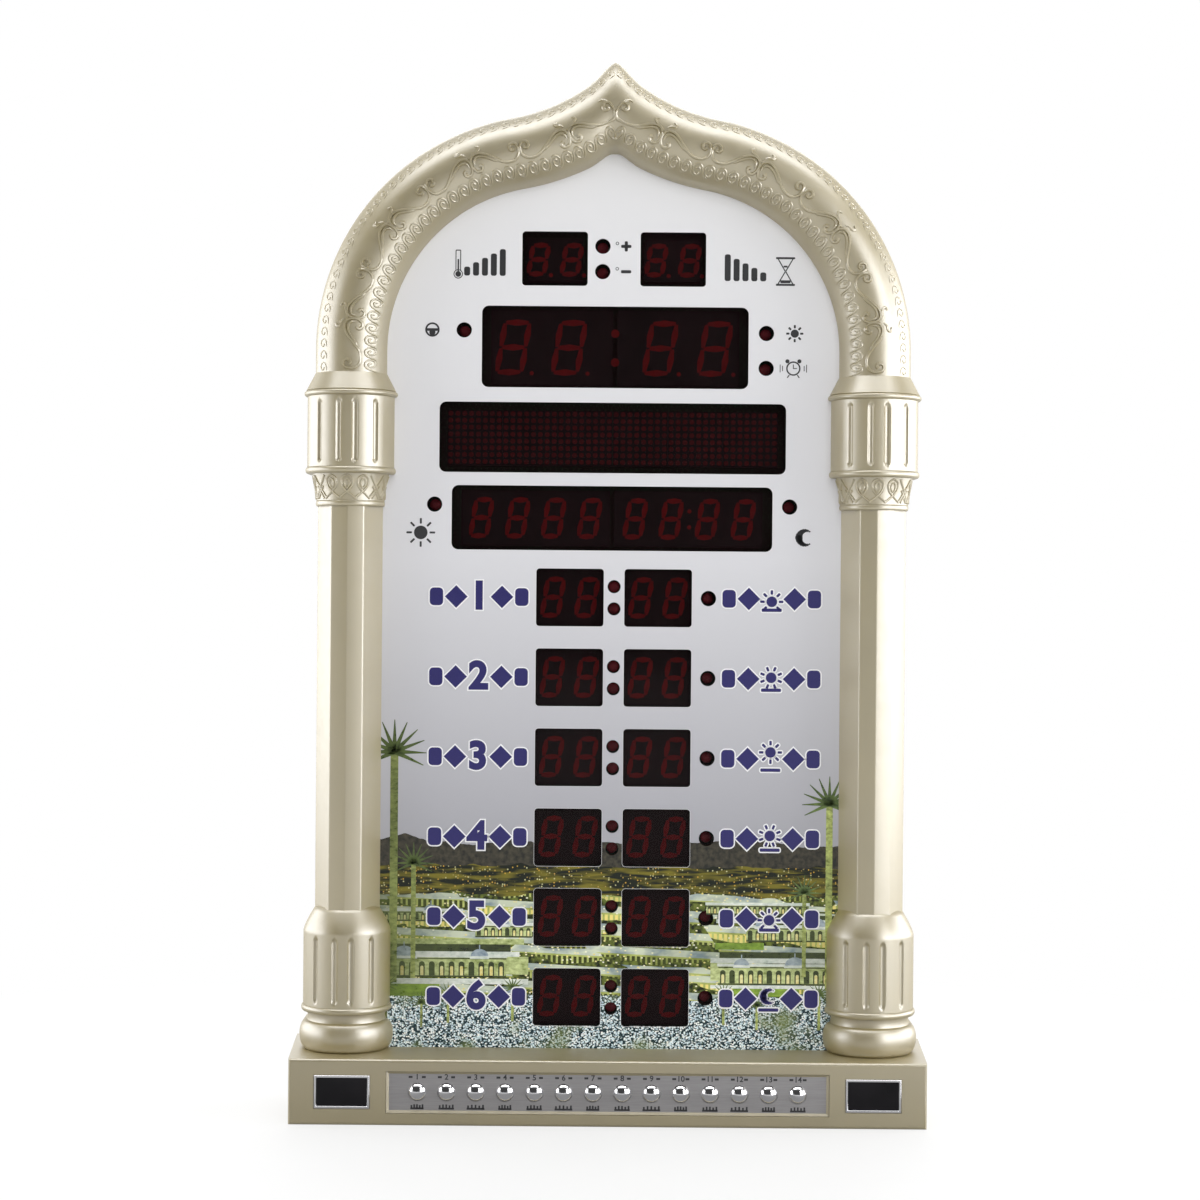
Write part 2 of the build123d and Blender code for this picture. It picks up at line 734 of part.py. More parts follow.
def button(x):
    """Domed cap with its flange and stem, and the switch plunger it pushes."""
    side_front = plate_front - button_side
    tip = side_front - button_dome
    sphere = (button_radius**2 + button_dome**2) / (2 * button_dome)
    half = asin(button_radius / sphere) / 2
    middle = (sphere * sin(half), tip + sphere * (1 - cos(half)))
    edges = [
        ThreePointArc((0, tip), middle, (button_radius, side_front)),
        Polyline((button_radius, side_front), (button_radius, flange_front), (flange_radius, flange_front),
                 (flange_radius, flange_back), (stem_radius, flange_back), (stem_radius, stem_back),
                 (0, stem_back), (0, tip)),
    ]
    cap = revolve(make_face(edges), axis=Axis.Y)
    plunger = rod(0, 0, plunger_radius, stem_back, stem_back + plunger_length)
    return [Pos(x, 0, strip_z) * cap, Pos(x, 0, strip_z) * plunger]


def switch_housing(x):
    """Switch body with the well that its plunger moves in."""
    body = panel(x, strip_z, (switch_size, switch_size), switch_front, strip_board_front)
    well = plunger_length - plunger_show + button_travel + plunger_gap
    return body - rod(x, strip_z, plunger_radius + plunger_gap, switch_front, switch_front + well)


def button_board():
    board = panel(0, strip_z, strip_board, strip_board_front, strip_board_back)
    holes = [rod(x, strip_z, hole_radius, strip_board_front, strip_board_back)
             for x in (-strip_post_x, strip_post_x)]
    return board - holes


# ---- Sensor windows ----

def sensor_bezel(x):
    inner = (sensor_window[0] - 2 * bezel_width, sensor_window[1] - 2 * bezel_width)
    front, back = front_y - bezel_proud, front_y + bezel_depth
    return panel(x, strip_z, sensor_window, front, back) - panel(x, strip_z, inner, front, back)


def sensor_lens(x):
    inset = 2 * (bezel_width + lens_gap)
    size = (sensor_window[0] - inset, sensor_window[1] - inset)
    return panel(x, strip_z, size, front_y + lens_sunk - bezel_proud, front_y + bezel_depth)


def receiver(x):
    """Small sensor with a round eye, standing on the button board."""
    front = strip_board_front - receiver_depth
    body = panel(x, strip_z, receiver_size, front, strip_board_front)
    return body + Pos(x, front, strip_z) * Sphere(receiver_eye)


# ---- Speaker ----

def speaker_frame():
    """Flange against the rear cover, and the basket behind the cone."""
    basket_front = speaker_front - speaker_basket_depth
    outer_r, mouth_r = speaker_radius - speaker_flange, speaker_radius - speaker_flange - speaker_wall
    points = [(speaker_radius, cover_inner), (speaker_radius, speaker_front), (outer_r, speaker_front),
              (speaker_basket_radius, basket_front), (coil_opening, basket_front),
              (coil_opening, basket_front + speaker_wall),
              (speaker_basket_radius - speaker_wall, basket_front + speaker_wall),
              (mouth_r, speaker_front), (mouth_r, cover_inner)]
    return Pos(0, 0, speaker_z) * revolve(make_face(Polyline(*points, close=True)), axis=Axis.Y)


def speaker_magnet():
    front = speaker_front - speaker_basket_depth - magnet_depth
    return rod(0, speaker_z, magnet_radius, front, front + magnet_depth)


def speaker_cone():
    """Paper cone with its voice coil, clear of the frame all round."""
    edge_r = speaker_radius - speaker_flange - speaker_wall - cone_clearance
    edge_y = cover_inner - cone_clearance
    low_y = speaker_front - cone_bottom_depth
    coil_y = speaker_front - speaker_basket_depth + cone_clearance
    points = [(edge_r, edge_y), (edge_r, edge_y - cone_wall), (cone_bottom_radius, low_y),
              (cone_bottom_radius, coil_y), (cone_bottom_radius - cone_wall, coil_y),
              (cone_bottom_radius - cone_wall, low_y), (0, low_y), (0, low_y + cone_wall),
              (cone_bottom_radius, low_y + cone_wall)]
    return Pos(0, 0, speaker_z) * revolve(make_face(Polyline(*points, close=True)), axis=Axis.Y)


# ---- Inlet, cell and parts on the main board ----

def jack_barrel():
    """Socket body behind the base cover."""
    width, length, height = jack_size
    body = block((jack_x - width / 2, base_cover_inner - length, strip_z - height / 2),
                 (jack_x + width / 2, base_cover_inner, strip_z + height / 2))
    return body - rod(jack_x, strip_z, jack_hole_radius, base_cover_inner - jack_hole_depth, base_cover_inner)


def jack_pin():
    back = base_cover_inner - jack_pin_short
    return rod(jack_x, strip_z, jack_pin_radius, base_cover_inner - jack_hole_depth, back)


def cell_holder():
    cup = rod(cell_x, cell_z, holder_radius, board_back, board_back + holder_height)
    well_front = board_back + holder_floor
    return cup - rod(cell_x, cell_z, cell_radius + pilot_clearance, well_front, board_back + holder_height)


def backup_cell():
    front = board_back + holder_floor
    return rod(cell_x, cell_z, cell_radius, front, front + cell_thickness)


def driver_chips():
    return [panel(side * driver_x, z, driver_size, board_back, board_back + chip_height)
            for z in row_z[-driver_count // 2:] for side in (-1, 1)]


def capacitors():
    places = [capacitor_x + (i - (capacitor_count - 1) / 2) * capacitor_pitch for i in range(capacitor_count)]
    return [rod(x, capacitor_z, capacitor_radius, board_back, board_back + capacitor_height) for x in places]


# ---- Cables ----

def ribbon_cable():
    """Flat cable from the main board down through the wire slot to the button board."""
    low_y = strip_board_back + ribbon_plug[1]
    path = Polyline((ribbon_y, ribbon_top_z), (ribbon_y, ribbon_low_z), (low_y, ribbon_low_z))
    return extrude(Plane.YZ * trace(path, ribbon_thickness), ribbon_width / 2, both=True)


def plug(x, y, z, size):
    """Plug body centred on a place."""
    return Pos(x, y, z) * Box(*size)


def board_plugs():
    width, depth, height = ribbon_plug
    return [
        plug(0, ribbon_y, ribbon_top_z + height / 2, (width, 2 * (ribbon_y - board_back), height)),
        plug(0, strip_board_back + depth / 2, ribbon_low_z, (width, depth, height)),
        plug(power_lead_x, lead_y, power_plug_z, lead_plug),
        plug(speaker_plug_x, lead_y, speaker_z, lead_plug),
    ]


def lead(points):
    """Thin round lead through rounded corners."""
    path = FilletPolyline(*points, radius=lead_bend)
    return sweep(Plane(path @ 0, z_dir=path % 0) * Circle(lead_radius), path=path)


def power_lead():
    """From the inlet along the base, up through the wire slot to the main board."""
    return lead([(jack_x - jack_size[0] / 2, lead_y, strip_z), (power_lead_x, lead_y, strip_z),
                 (power_lead_x, lead_y, power_plug_z - lead_plug[2] / 2)])


def speaker_lead():
    """From the main board to the speaker's flange."""
    end_x, end_z = speaker_lead_end[0], speaker_z + speaker_lead_end[1]
    return lead([(speaker_plug_x, lead_y, speaker_z - lead_plug[2] / 2), (speaker_plug_x, lead_y, end_z),
                 (end_x, lead_y, end_z), (end_x, speaker_front, end_z)])


# ---- Screws ----

def screw(x, z, seat, length=screw_length, way=-1):
    """Pan-head screw whose head rests at a depth; its shank points forwards, or back with way=1."""
    tip = seat + way * length
    crown = seat - way * screw_head_height
    shank = rod(x, z, screw_radius, min(seat, tip), max(seat, tip))
    return shank + rod(x, z, screw_head_radius, min(seat, crown), max(seat, crown))


def foot_screw(x):
    """Upright screw, its head under the base's top wall."""
    seat = base_height - base_wall
    shank = upright(x, foot_screw_y, screw_radius, seat, seat + screw_length)
    return shank + upright(x, foot_screw_y, screw_head_radius, seat - screw_head_height, seat)


def case_screws():
    screws = [screw(x, z, tube_depth + tube_floor) for x, z in case_posts]
    screws += [screw(x, strip_z, base_head_y) for x in base_screw_x]
    return screws + [foot_screw(x) for x in (-column_x, column_x)]


def board_screws():
    screws = [screw(x, z, board_front, way=1) for x, z in board_posts]
    return screws + [screw(x, strip_z, strip_board_back, strip_screw_length)
                     for x in (-strip_post_x, strip_post_x)]


def all_parts():
    parts = {
        "arch_frame": arch_frame(),
        "base_housing": base_housing(),
        "base_cover": base_cover(),
        "rear_cover": rear_cover(),
        "face_panel": face_panel(),
        "display_filter": display_filter(),
        "main_board": main_board(),
        "colon_leds": [lamp(x, z) for x, z in colon_places()],
        "indicator_leds": [lamp(x, z) for x, z in dot_places()],
        "control_plate": control_plate(),
        "button_board": button_board(),
        "switch_housings": [switch_housing(x) for x in button_places()],
        "sensor_bezels": [sensor_bezel(x) for x in (-sensor_x, sensor_x)],
        "sensor_lenses": [sensor_lens(x) for x in (-sensor_x, sensor_x)],
        "remote_receiver": receiver(-sensor_x),
        "light_sensor": receiver(sensor_x),
        "speaker_frame": speaker_frame(),
        "speaker_magnet": speaker_magnet(),
        "speaker_cone": speaker_cone(),
        "jack_barrel": jack_barrel(),
        "jack_pin": jack_pin(),
        "cell_holder": cell_holder(),
        "backup_cell": backup_cell(),
        "controller_chip": panel(0, controller_z, (controller_size, controller_size),
                                 board_back, board_back + chip_height),
        "driver_chips": driver_chips(),
        "capacitors": capacitors(),
        "ribbon_cable": ribbon_cable(),
        "board_plugs": board_plugs(),
        "power_lead": power_lead(),
        "speaker_lead": speaker_lead(),
        "case_screws": case_screws(),
        "board_screws": board_screws(),
    }
    parts.update(displays())
    for i, x in enumerate(button_places()):
        parts[f"button_{i + 1}"] = button(x)
    return parts


os.makedirs("parts", exist_ok=True)
for name, shape in all_parts().items():
    solid = Compound(children=shape) if isinstance(shape, list) else shape
    export_step(solid, f"parts/{name}.step")
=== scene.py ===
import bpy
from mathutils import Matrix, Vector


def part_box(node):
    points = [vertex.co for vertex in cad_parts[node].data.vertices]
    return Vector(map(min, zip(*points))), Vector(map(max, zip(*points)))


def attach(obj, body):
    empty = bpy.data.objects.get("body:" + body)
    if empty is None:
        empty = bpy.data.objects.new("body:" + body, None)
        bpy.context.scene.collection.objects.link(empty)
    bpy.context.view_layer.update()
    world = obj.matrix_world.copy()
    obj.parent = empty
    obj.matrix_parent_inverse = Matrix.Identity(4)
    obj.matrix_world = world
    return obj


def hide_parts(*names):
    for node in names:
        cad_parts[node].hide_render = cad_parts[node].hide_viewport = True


bl_info = {
    "name": "Azan clock",
    "version": (1, 0, 0),
    "blender": (4, 5, 0),
    "location": "3D View > Sidebar > Azan Clock",
    "description": "Dresses the azan clock: arch, columns, printed face, displays and control strip",
    "category": "Object",
}

from math import asin, atan2, cos, pi, radians, sin, sqrt

import bmesh
import bpy
from bpy.props import FloatProperty, FloatVectorProperty, IntProperty, PointerProperty
from bpy.types import Operator, Panel, PropertyGroup
from mathutils import Matrix, Vector

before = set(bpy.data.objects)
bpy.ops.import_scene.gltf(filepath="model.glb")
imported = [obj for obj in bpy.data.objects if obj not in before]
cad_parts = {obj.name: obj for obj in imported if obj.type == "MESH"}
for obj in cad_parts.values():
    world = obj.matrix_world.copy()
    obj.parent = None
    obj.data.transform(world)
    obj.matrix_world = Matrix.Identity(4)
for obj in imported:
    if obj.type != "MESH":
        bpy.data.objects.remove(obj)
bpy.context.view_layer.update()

MM = 0.001
WELD = 0.002 * MM             # points nearer than this are one point
SKIN = 0.03 * MM              # how far a printed layer stands on the one below
ROWS = 6
BUTTONS = 14
MATRIX_MODULES = 6
MATRIX_DOTS = 8               # dots along a module's side
ROW_MODULE_X = 19.85 * MM     # from the middle of a row to the middles of its two modules
SIDES = (-1, 1)
TO_VIEWER = Vector((0.0, -1.0, 0.0))


# ---- Places taken from the frame ----

def middle(low, high):
    return (low + high) / 2


def centre_of(node):
    """Middle of a node's box."""
    return middle(*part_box(node))


def row_centre(row):
    return centre_of(f"row_{row + 1}_display")


BASE_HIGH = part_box("base_housing")[1]
MODULE_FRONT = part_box("clock_display")[0].y
PLATE_LOW, PLATE_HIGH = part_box("control_plate")
BEZEL_LOW, BEZEL_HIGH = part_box("sensor_bezels")
STRIP_Z = middle(PLATE_LOW.z, PLATE_HIGH.z)


# ---- Properties ----

def place(title, millimetres, about, **limits):
    return FloatProperty(name=title, description=about, default=millimetres * MM, unit="LENGTH",
                         subtype="DISTANCE", precision=4, **limits)


def length(title, millimetres, about):
    return place(title, millimetres, about, min=0.0)


def number(title, value, about):
    return IntProperty(name=title, description=about, default=value, min=1)


def angle(title, degrees_, about):
    return FloatProperty(name=title, description=about, default=radians(degrees_), unit="ROTATION",
                         subtype="ANGLE")


def amount(title, value, about, low=0.0, high=1000.0):
    return FloatProperty(name=title, description=about, default=value, min=low, max=high)


def colour(title, value, about):
    return FloatVectorProperty(name=title, description=about, default=value, size=3, min=0.0, max=1.0,
                               subtype="COLOR")


class ArchSizes(PropertyGroup):
    """The moulding over the face and the relief on it."""

    column_x: length("Column axis", 117.7, "Distance from the middle to a column's axis")
    radius: length("Main radius", 90.4, "Radius of the moulding's centre line")
    spring_z: length("Springing", 342.4, "Height at which the arch starts to turn")
    foot_z: length("Foot", 331.6, "Height at which the moulding leaves the capital")
    ogee_radius: length("Counter-curve radius", 101.6, "Radius of the curve up to the point")
    ogee_turn: angle("Counter-curve turn", 10.5, "Angle short of the top where the curve turns over")
    half_width: length("Half width", 16.0, "Radius of the half-round moulding")
    wall: length("Wall", 2.2, "Thickness of the moulded wall")
    skirt: length("Skirt", 12.0, "How far the outer side runs back behind the face")
    scroll_count: number("Scrolls", 8, "S-scrolls along each half of the arch")
    scroll_line: length("Scroll line", 0.68, "Radius of the vine's raised line")
    vine_start: length("Vine start", 1.0, "Where the vine starts above the capital")
    vine_spare: length("Vine spare", 3.0, "Length of the arch that the scrolls leave free")
    point_ease: length("Point ease", 4.0, "How far from the middle the point and its crease are rounded")
    wave_offset: length("Wave offset", 9.9, "Running waves inside the moulding's crown")
    wave_pitch: length("Wave pitch", 5.45, "Distance between two running waves")
    wave_height: length("Wave height", 5.2, "Width of the band of waves")
    wave_line: length("Wave line", 0.45, "Radius of the waves' raised line")
    curl_offset: length("Curl offset", 11.4, "Row of small curls outside the crown")
    curl_pitch: length("Curl pitch", 5.3, "Distance between two small curls")
    curl_height: length("Curl height", 3.0, "Width of the row of curls")
    curl_line: length("Curl line", 0.3, "Radius of the curls' raised line")


class ColumnSizes(PropertyGroup):
    """A faceted column with its turned foot and capital."""

    shaft_radius: length("Shaft radius", 14.6, "Radius to the shaft's edges")
    shoulder_x: length("Facet edge across", 7.3, "Edge between a front and a side facet, across")
    shoulder_y: length("Facet edge forward", 12.9, "Edge between a front and a side facet, forward")
    facet_bevel: length("Facet bevel", 0.45, "Softened edge between two facets")
    torus_radius: length("Foot roll radius", 21.0, "Widest radius of the round foot")
    torus_height: length("Foot roll height", 13.0, "Height of the round foot")
    scotia_radius: length("Hollow radius", 17.8, "Radius of the hollow above the foot")
    scotia_height: length("Hollow height", 4.0, "Height of the hollow above the foot")
    ring_radius: length("Ring radius", 20.3, "Radius of the thin rings")
    ring_height: length("Ring height", 3.0, "Height of the thin rings")
    drum_radius: length("Drum radius", 19.5, "Radius of the fluted drums")
    drum_low_height: length("Lower drum height", 33.0, "Height of the lower drum")
    drum_high_height: length("Upper drum height", 31.6, "Height of the upper drum")
    shoulder_height: length("Shoulder height", 10.0, "Height of the slope from drum to shaft")
    neck_radius: length("Neck radius", 15.3, "Radius of the ring on top of the shaft")
    neck_ring_height: length("Neck ring height", 2.5, "Height of the ring on top of the shaft")
    necking_radius: length("Necking radius", 17.2, "Radius of the patterned neck at its top")
    necking_height: length("Necking height", 12.0, "Height of the patterned neck")
    flange_height: length("Flange height", 2.5, "Height of the top flange")
    cap_height: length("Cap height", 8.0, "Height of the slope from flange to arch")
    flute_inner: angle("Inner flutes", 10.7, "Angle of the two middle flutes from the front")
    flute_outer: angle("Outer flutes", 39.5, "Angle of the two outer flutes from the front")
    flute_width: length("Flute width", 2.7, "Width of a flute")
    flute_depth: length("Flute depth", 1.0, "Depth of a flute")
    flute_margin: length("Flute margin", 2.0, "Plain band above and below the flutes")
    lattice_line: length("Lattice line", 0.55, "Radius of the necking's raised line")
    lattice_loops: number("Lattice loops", 7, "Loops round the front half")


class DisplaySizes(PropertyGroup):
    """Digits and dots behind the filter."""

    clock_digit: length("Clock digit", 25.0, "Height of the large digits")
    clock_digit_width: length("Clock digit width", 13.6, "Width of the large digits")
    row_digit: length("Row digit", 18.6, "Height of the row and date digits")
    row_digit_width: length("Row digit width", 9.6, "Width of the row and date digits")
    small_digit: length("Small digit", 15.2, "Height of the two-digit displays' digits")
    small_digit_width: length("Small digit width", 9.4, "Width of the two-digit displays' digits")
    clock_stroke: length("Clock stroke", 2.6, "Width of the large digits' segments")
    row_stroke: length("Row stroke", 2.3, "Width of the smaller digits' segments")
    slant: angle("Slant", 9.0, "Lean of the digits")
    segment_gap: length("Segment gap", 0.35, "Gap between two segments")
    point_radius: length("Point radius", 0.95, "Radius of a decimal point")
    eye_radius: length("Colon dot radius", 1.9, "Radius of the large colon's dots")
    dot_radius: length("Dot radius", 1.15, "Radius of a dot of the matrix")


class FaceSizes(PropertyGroup):
    """Printed layers on the face."""

    outline: length("Outline", 0.13, "Width of the light line round a window")
    label_height: length("Label height", 12.0, "Height of the row numerals")
    label_edge: length("Label edge", 0.6, "Width of the light edge round a label")
    lozenge: length("Lozenge", 7.2, "Side of the lozenges beside a label")
    lozenge_x: length("Lozenge place", 10.3, "From a label's middle to its lozenges")
    bar_width: length("Bar width", 6.0, "Width of the thick bars beside a label")
    bar_height: length("Bar height", 8.0, "Height of the thick bars beside a label")
    bar_x: length("Bar place", 19.2, "From a label's middle to its thick bars")
    left_label_x: place("Left labels", -59.5, "Middle of the labels on the left")
    right_label_x: place("Right labels", 72.2, "Middle of the labels on the right")
    small_mark: length("Small mark", 5.4, "Height of the small marks beside the lamps")


class StripSizes(PropertyGroup):
    """Buttons and windows in the base's front."""

    lip_width: length("Lip width", 1.15, "Width of the sloped lip round the plate")
    lip_rise: length("Lip rise", 0.8, "Rise of the lip's outer edge over the plate")
    button_radius: length("Button radius", 3.7, "Radius of a button's cap")
    button_dome: length("Dome", 1.8, "Rise of a button's dome")
    flange_radius: length("Flange radius", 4.6, "Radius of the flange behind the plate")
    stem_radius: length("Stem radius", 1.6, "Radius of a button's stem")
    plunger_radius: length("Plunger radius", 1.7, "Radius of the switch plunger")
    bezel_width: length("Bezel width", 1.2, "Width of the bright frame round a sensor window")
    mark_height: length("Mark height", 2.4, "Height of the figures over the buttons")


class ClockColours(PropertyGroup):
    """Colours of the clock's finishes."""

    champagne: colour("Champagne", (0.272, 0.215, 0.08), "Satin metallic paint of arch, columns and base")
    sheet_top: colour("Sheet, top", (0.85, 0.85, 0.87), "Face sheet at its top")
    sheet_mid: colour("Sheet, middle", (0.75, 0.75, 0.785), "Face sheet at the middle")
    sheet_low: colour("Sheet, low", (0.42, 0.42, 0.46), "Face sheet above the printed town")
    label: colour("Label", (0.017, 0.013, 0.13), "Row labels")
    ink: colour("Ink", (0.03, 0.03, 0.033), "Small printed marks")
    white_ink: colour("White ink", (0.88, 0.88, 0.9), "Light edges and outlines")
    filter: colour("Filter", (0.006, 0.002, 0.0025), "Smoked display filter")
    segment: colour("Segment", (0.56, 0.001, 0.002), "Unlit red segments")
    silver: colour("Silver", (0.36, 0.35, 0.355), "Brushed control plate")
    chrome: colour("Chrome", (0.82, 0.82, 0.84), "Bright plated buttons and bezels")
    cover: colour("Cover", (0.055, 0.055, 0.058), "Moulded rear covers")


class StudioSettings(PropertyGroup):
    """Camera and lights."""

    camera_x: place("Camera across", -5.1, "Camera's place across")
    camera_z: place("Camera height", 234.8, "Camera's height")
    camera_distance: length("Camera distance", 1100.0, "Distance from the camera to the face")
    lens: amount("Lens", 73.33, "Focal length in millimetres on a 36 mm sensor", 1.0, 300.0)
    roll: angle("Roll", 0.48, "Lean of the camera")
    pitch: angle("Pitch", 0.2, "How far the camera looks down")
    world_level: amount("World level", 0.52, "Plain light from all round")
    front_level: amount("Front level", 0.06, "What glossy surfaces see on the camera's side")
    window_level: amount("Window level", 0.8, "What glossy surfaces see to the right of the camera")
    side_level: amount("Side level", 1.0, "What glossy surfaces see to both sides")
    side_power: amount("Side lights", 20.0, "Power of each side light in watts")
    top_power: amount("Top light", 10.0, "Power of the sheen light above in watts")
    front_power: amount("Front light", 7.8, "Power of the front light in watts")
    rear_power: amount("Rear light", 12.0, "Power of the rear light in watts")
    window_power: amount("Window light", 6.0, "Power of the sheen light on the right in watts")


class ClockSettings(PropertyGroup):
    """Everything that can be set on the clock."""

    arch: PointerProperty(type=ArchSizes, name="Arch", description="Arch moulding and relief")
    column: PointerProperty(type=ColumnSizes, name="Column", description="Columns")
    display: PointerProperty(type=DisplaySizes, name="Displays", description="Digits and dots")
    face: PointerProperty(type=FaceSizes, name="Face", description="Printed layers")
    strip: PointerProperty(type=StripSizes, name="Strip", description="Buttons and windows")
    colours: PointerProperty(type=ClockColours, name="Colours", description="Finishes' colours")
    studio: PointerProperty(type=StudioSettings, name="Studio", description="Camera and lights")


# ---- Shader maths ----

def joined_by(operation, swapped=False):
    """A method that joins a value with another one in a Math node."""
    def join(self, other=0.0):
        pair = {0: other, 1: self} if swapped else {0: self, 1: other}
        return self.finish.node("Math", {"operation": operation}, pair)
    return join


class Value:
    """A node's output that takes part in sums."""

    def __init__(self, finish, socket):
        self.finish = finish
        self.socket = socket

    __add__ = joined_by("ADD")
    __sub__ = joined_by("SUBTRACT")
    __rsub__ = joined_by("SUBTRACT", swapped=True)
    __mul__ = joined_by("MULTIPLY")
    over = joined_by("GREATER_THAN")      # 1 where this is above the other, else 0
    at_least = joined_by("MAXIMUM")
    wave = joined_by("SINE")
    size = joined_by("ABSOLUTE")
    part = joined_by("FRACT")             # what is left over after the whole number


class Finish:
    """One procedural material, built node by node."""

    made = {}

    def __init__(self, name):
        self.material = bpy.data.materials.new(name)
        self.material.use_nodes = True
        self.tree = self.material.node_tree
        self.tree.nodes.clear()

    def node(self, kind, settings=None, sockets=None, output=0):
        """Adds a node: its settings first, then the values or links of its sockets."""
        node = self.tree.nodes.new("ShaderNode" + kind)
        for key, value in (settings or {}).items():
            if key == "stops":
                self.fill_ramp(node.color_ramp, value)
            else:
                setattr(node, key, value)
        for key, value in (sockets or {}).items():
            if isinstance(value, Value):
                self.tree.links.new(value.socket, node.inputs[key])
            else:
                node.inputs[key].default_value = value
        return Value(self, node.outputs[output]) if len(node.outputs) else node

    def fill_ramp(self, ramp, stops):
        while len(ramp.elements) < len(stops):
            ramp.elements.new(0.5)
        for element, (position, value) in zip(ramp.elements, stops):
            element.position = position
            element.color = (*value, 1.0)

    @classmethod
    def on(cls, tree):
        """Builds on a node tree that is there already, such as a world's."""
        made = cls.__new__(cls)
        made.tree = tree
        tree.nodes.clear()
        return made

    def mirrored_rays(self):
        """1 for rays that come from a glossy or a see-through surface."""
        return self.node("LightPath", output="Is Glossy Ray").at_least(
            self.node("LightPath", output="Is Transmission Ray"))

    def object_place(self):
        return self.node("TexCoord", output="Object")

    def parts_of(self, vector):
        """The three parts of a vector."""
        split = self.node("SeparateXYZ", {}, {0: vector}).socket.node
        return [Value(self, split.outputs[i]) for i in range(3)]

    def axes(self):
        """The place on the object along X, Y and Z, in metres."""
        return self.parts_of(self.object_place())

    def at(self, x, y, z):
        return self.node("CombineXYZ", {}, {0: x, 1: y, 2: z})

    def noise(self, scale, detail=2.0, roughness=0.5, where=None, distortion=0.0):
        """Noise from 0 to 1, with its scale per metre."""
        return self.node("TexNoise", {}, {"Vector": where or self.object_place(), "Scale": scale,
                                          "Detail": detail, "Roughness": roughness,
                                          "Distortion": distortion})

    def between(self, value, low, high, to_low=0.0, to_high=1.0):
        """A value carried from one range to another, clamped."""
        return self.node("MapRange", {"clamp": True}, {"Value": value, 1: low, 2: high, 3: to_low,
                                                       4: to_high})

    def drift(self, scale, detail=2.0, to_low=0.0, to_high=1.0):
        """Noise's usual span carried to a range."""
        return self.spread(self.noise(scale, detail), to_low, to_high)

    def spread(self, noise, to_low=0.0, to_high=1.0):
        return self.between(noise, 0.3, 0.7, to_low, to_high)

    def blend(self, factor, first, second):
        """A mix of two colours."""
        def full(value):
            return value if isinstance(value, Value) else (*value, 1.0)
        return self.node("Mix", {"data_type": "RGBA"}, {0: factor, 6: full(first), 7: full(second)},
                         output=2)

    def ramp(self, value, stops):
        return self.node("ValToRGB", {"stops": stops}, {0: value})

    def cells(self, where, scale, metric="EUCLIDEAN"):
        """Distance to the nearest cell's middle, and three random values of that cell."""
        near = self.node("TexVoronoi", {"distance": metric}, {"Vector": where, "Scale": scale})
        colour_ = Value(self, near.socket.node.outputs["Color"])
        split = self.node("SeparateColor", {}, {0: colour_}).socket.node
        return near, [Value(self, split.outputs[i]) for i in range(3)]

    def bump(self, height, distance, strength):
        return self.node("Bump", {}, {"Height": height, "Distance": distance, "Strength": strength})

    def glow(self, strength):
        """Plain white light of a fixed strength."""
        return self.node("Emission", {}, {"Color": (1.0, 1.0, 1.0, 1.0), "Strength": strength})

    def mixed(self, factor, first, second):
        """A mix of two shaders."""
        return self.node("MixShader", {}, {0: factor, 1: first, 2: second})

    def surface(self, **sockets):
        """Closes the material with one principled shader."""
        named = {key.replace("_", " "): value for key, value in sockets.items()}
        if not isinstance(named["Base Color"], Value):
            named["Base Color"] = (*named["Base Color"], 1.0)
        shader = self.node("BsdfPrincipled", {}, named)
        self.node("OutputMaterial", {}, {"Surface": shader})
        return self.material

    def grained(self, noise, tones, rough, **more):
        """Closes a material whose colour and gloss follow one noise."""
        return self.surface(Base_Color=self.blend(self.spread(noise), *tones),
                            Roughness=self.spread(noise, *rough), **more)

    def mottled(self, tones, scale, rough_scale, rough, **more):
        """Closes a material whose colour drifts between two tones and its gloss between two values."""
        return self.surface(Base_Color=self.blend(self.drift(scale), *tones),
                            Roughness=self.drift(rough_scale, 2.0, *rough), **more)


def finish(maker):
    """Makes a material once and hands the same one out afterwards."""
    def give(*details):
        key = (maker.__name__, details)
        if key not in Finish.made:
            name = "_".join([maker.__name__, *(str(d) for d in details)])
            Finish.made[key] = maker(Finish(name), *details)
        return Finish.made[key]
    return give


def settings():
    return bpy.context.scene.azan_clock


# ---- Finishes ----

def shaded(base, share):
    """A colour made darker or lighter."""
    return [min(1.0, v * share) for v in base]


@finish
def champagne_paint(f):
    """Satin pearl paint: an olive-beige ground under a pale sheen, with fine flake and orange peel."""
    base = settings().colours.champagne
    ground = f.blend(f.drift(38.0, 3.0), shaded(base, 0.95), shaded(base, 1.05))
    flake = f.between(f.noise(5200.0, 1.0), 0.55, 0.8, 0.0, 0.35)
    return f.surface(Base_Color=f.blend(flake, ground, shaded(base, 1.35)),
                     Roughness=f.between(f.noise(260.0), 0.25, 0.75, 0.36, 0.42), IOR=3.0,
                     Normal=f.bump(f.noise(900.0), 0.012 * MM, 0.5))


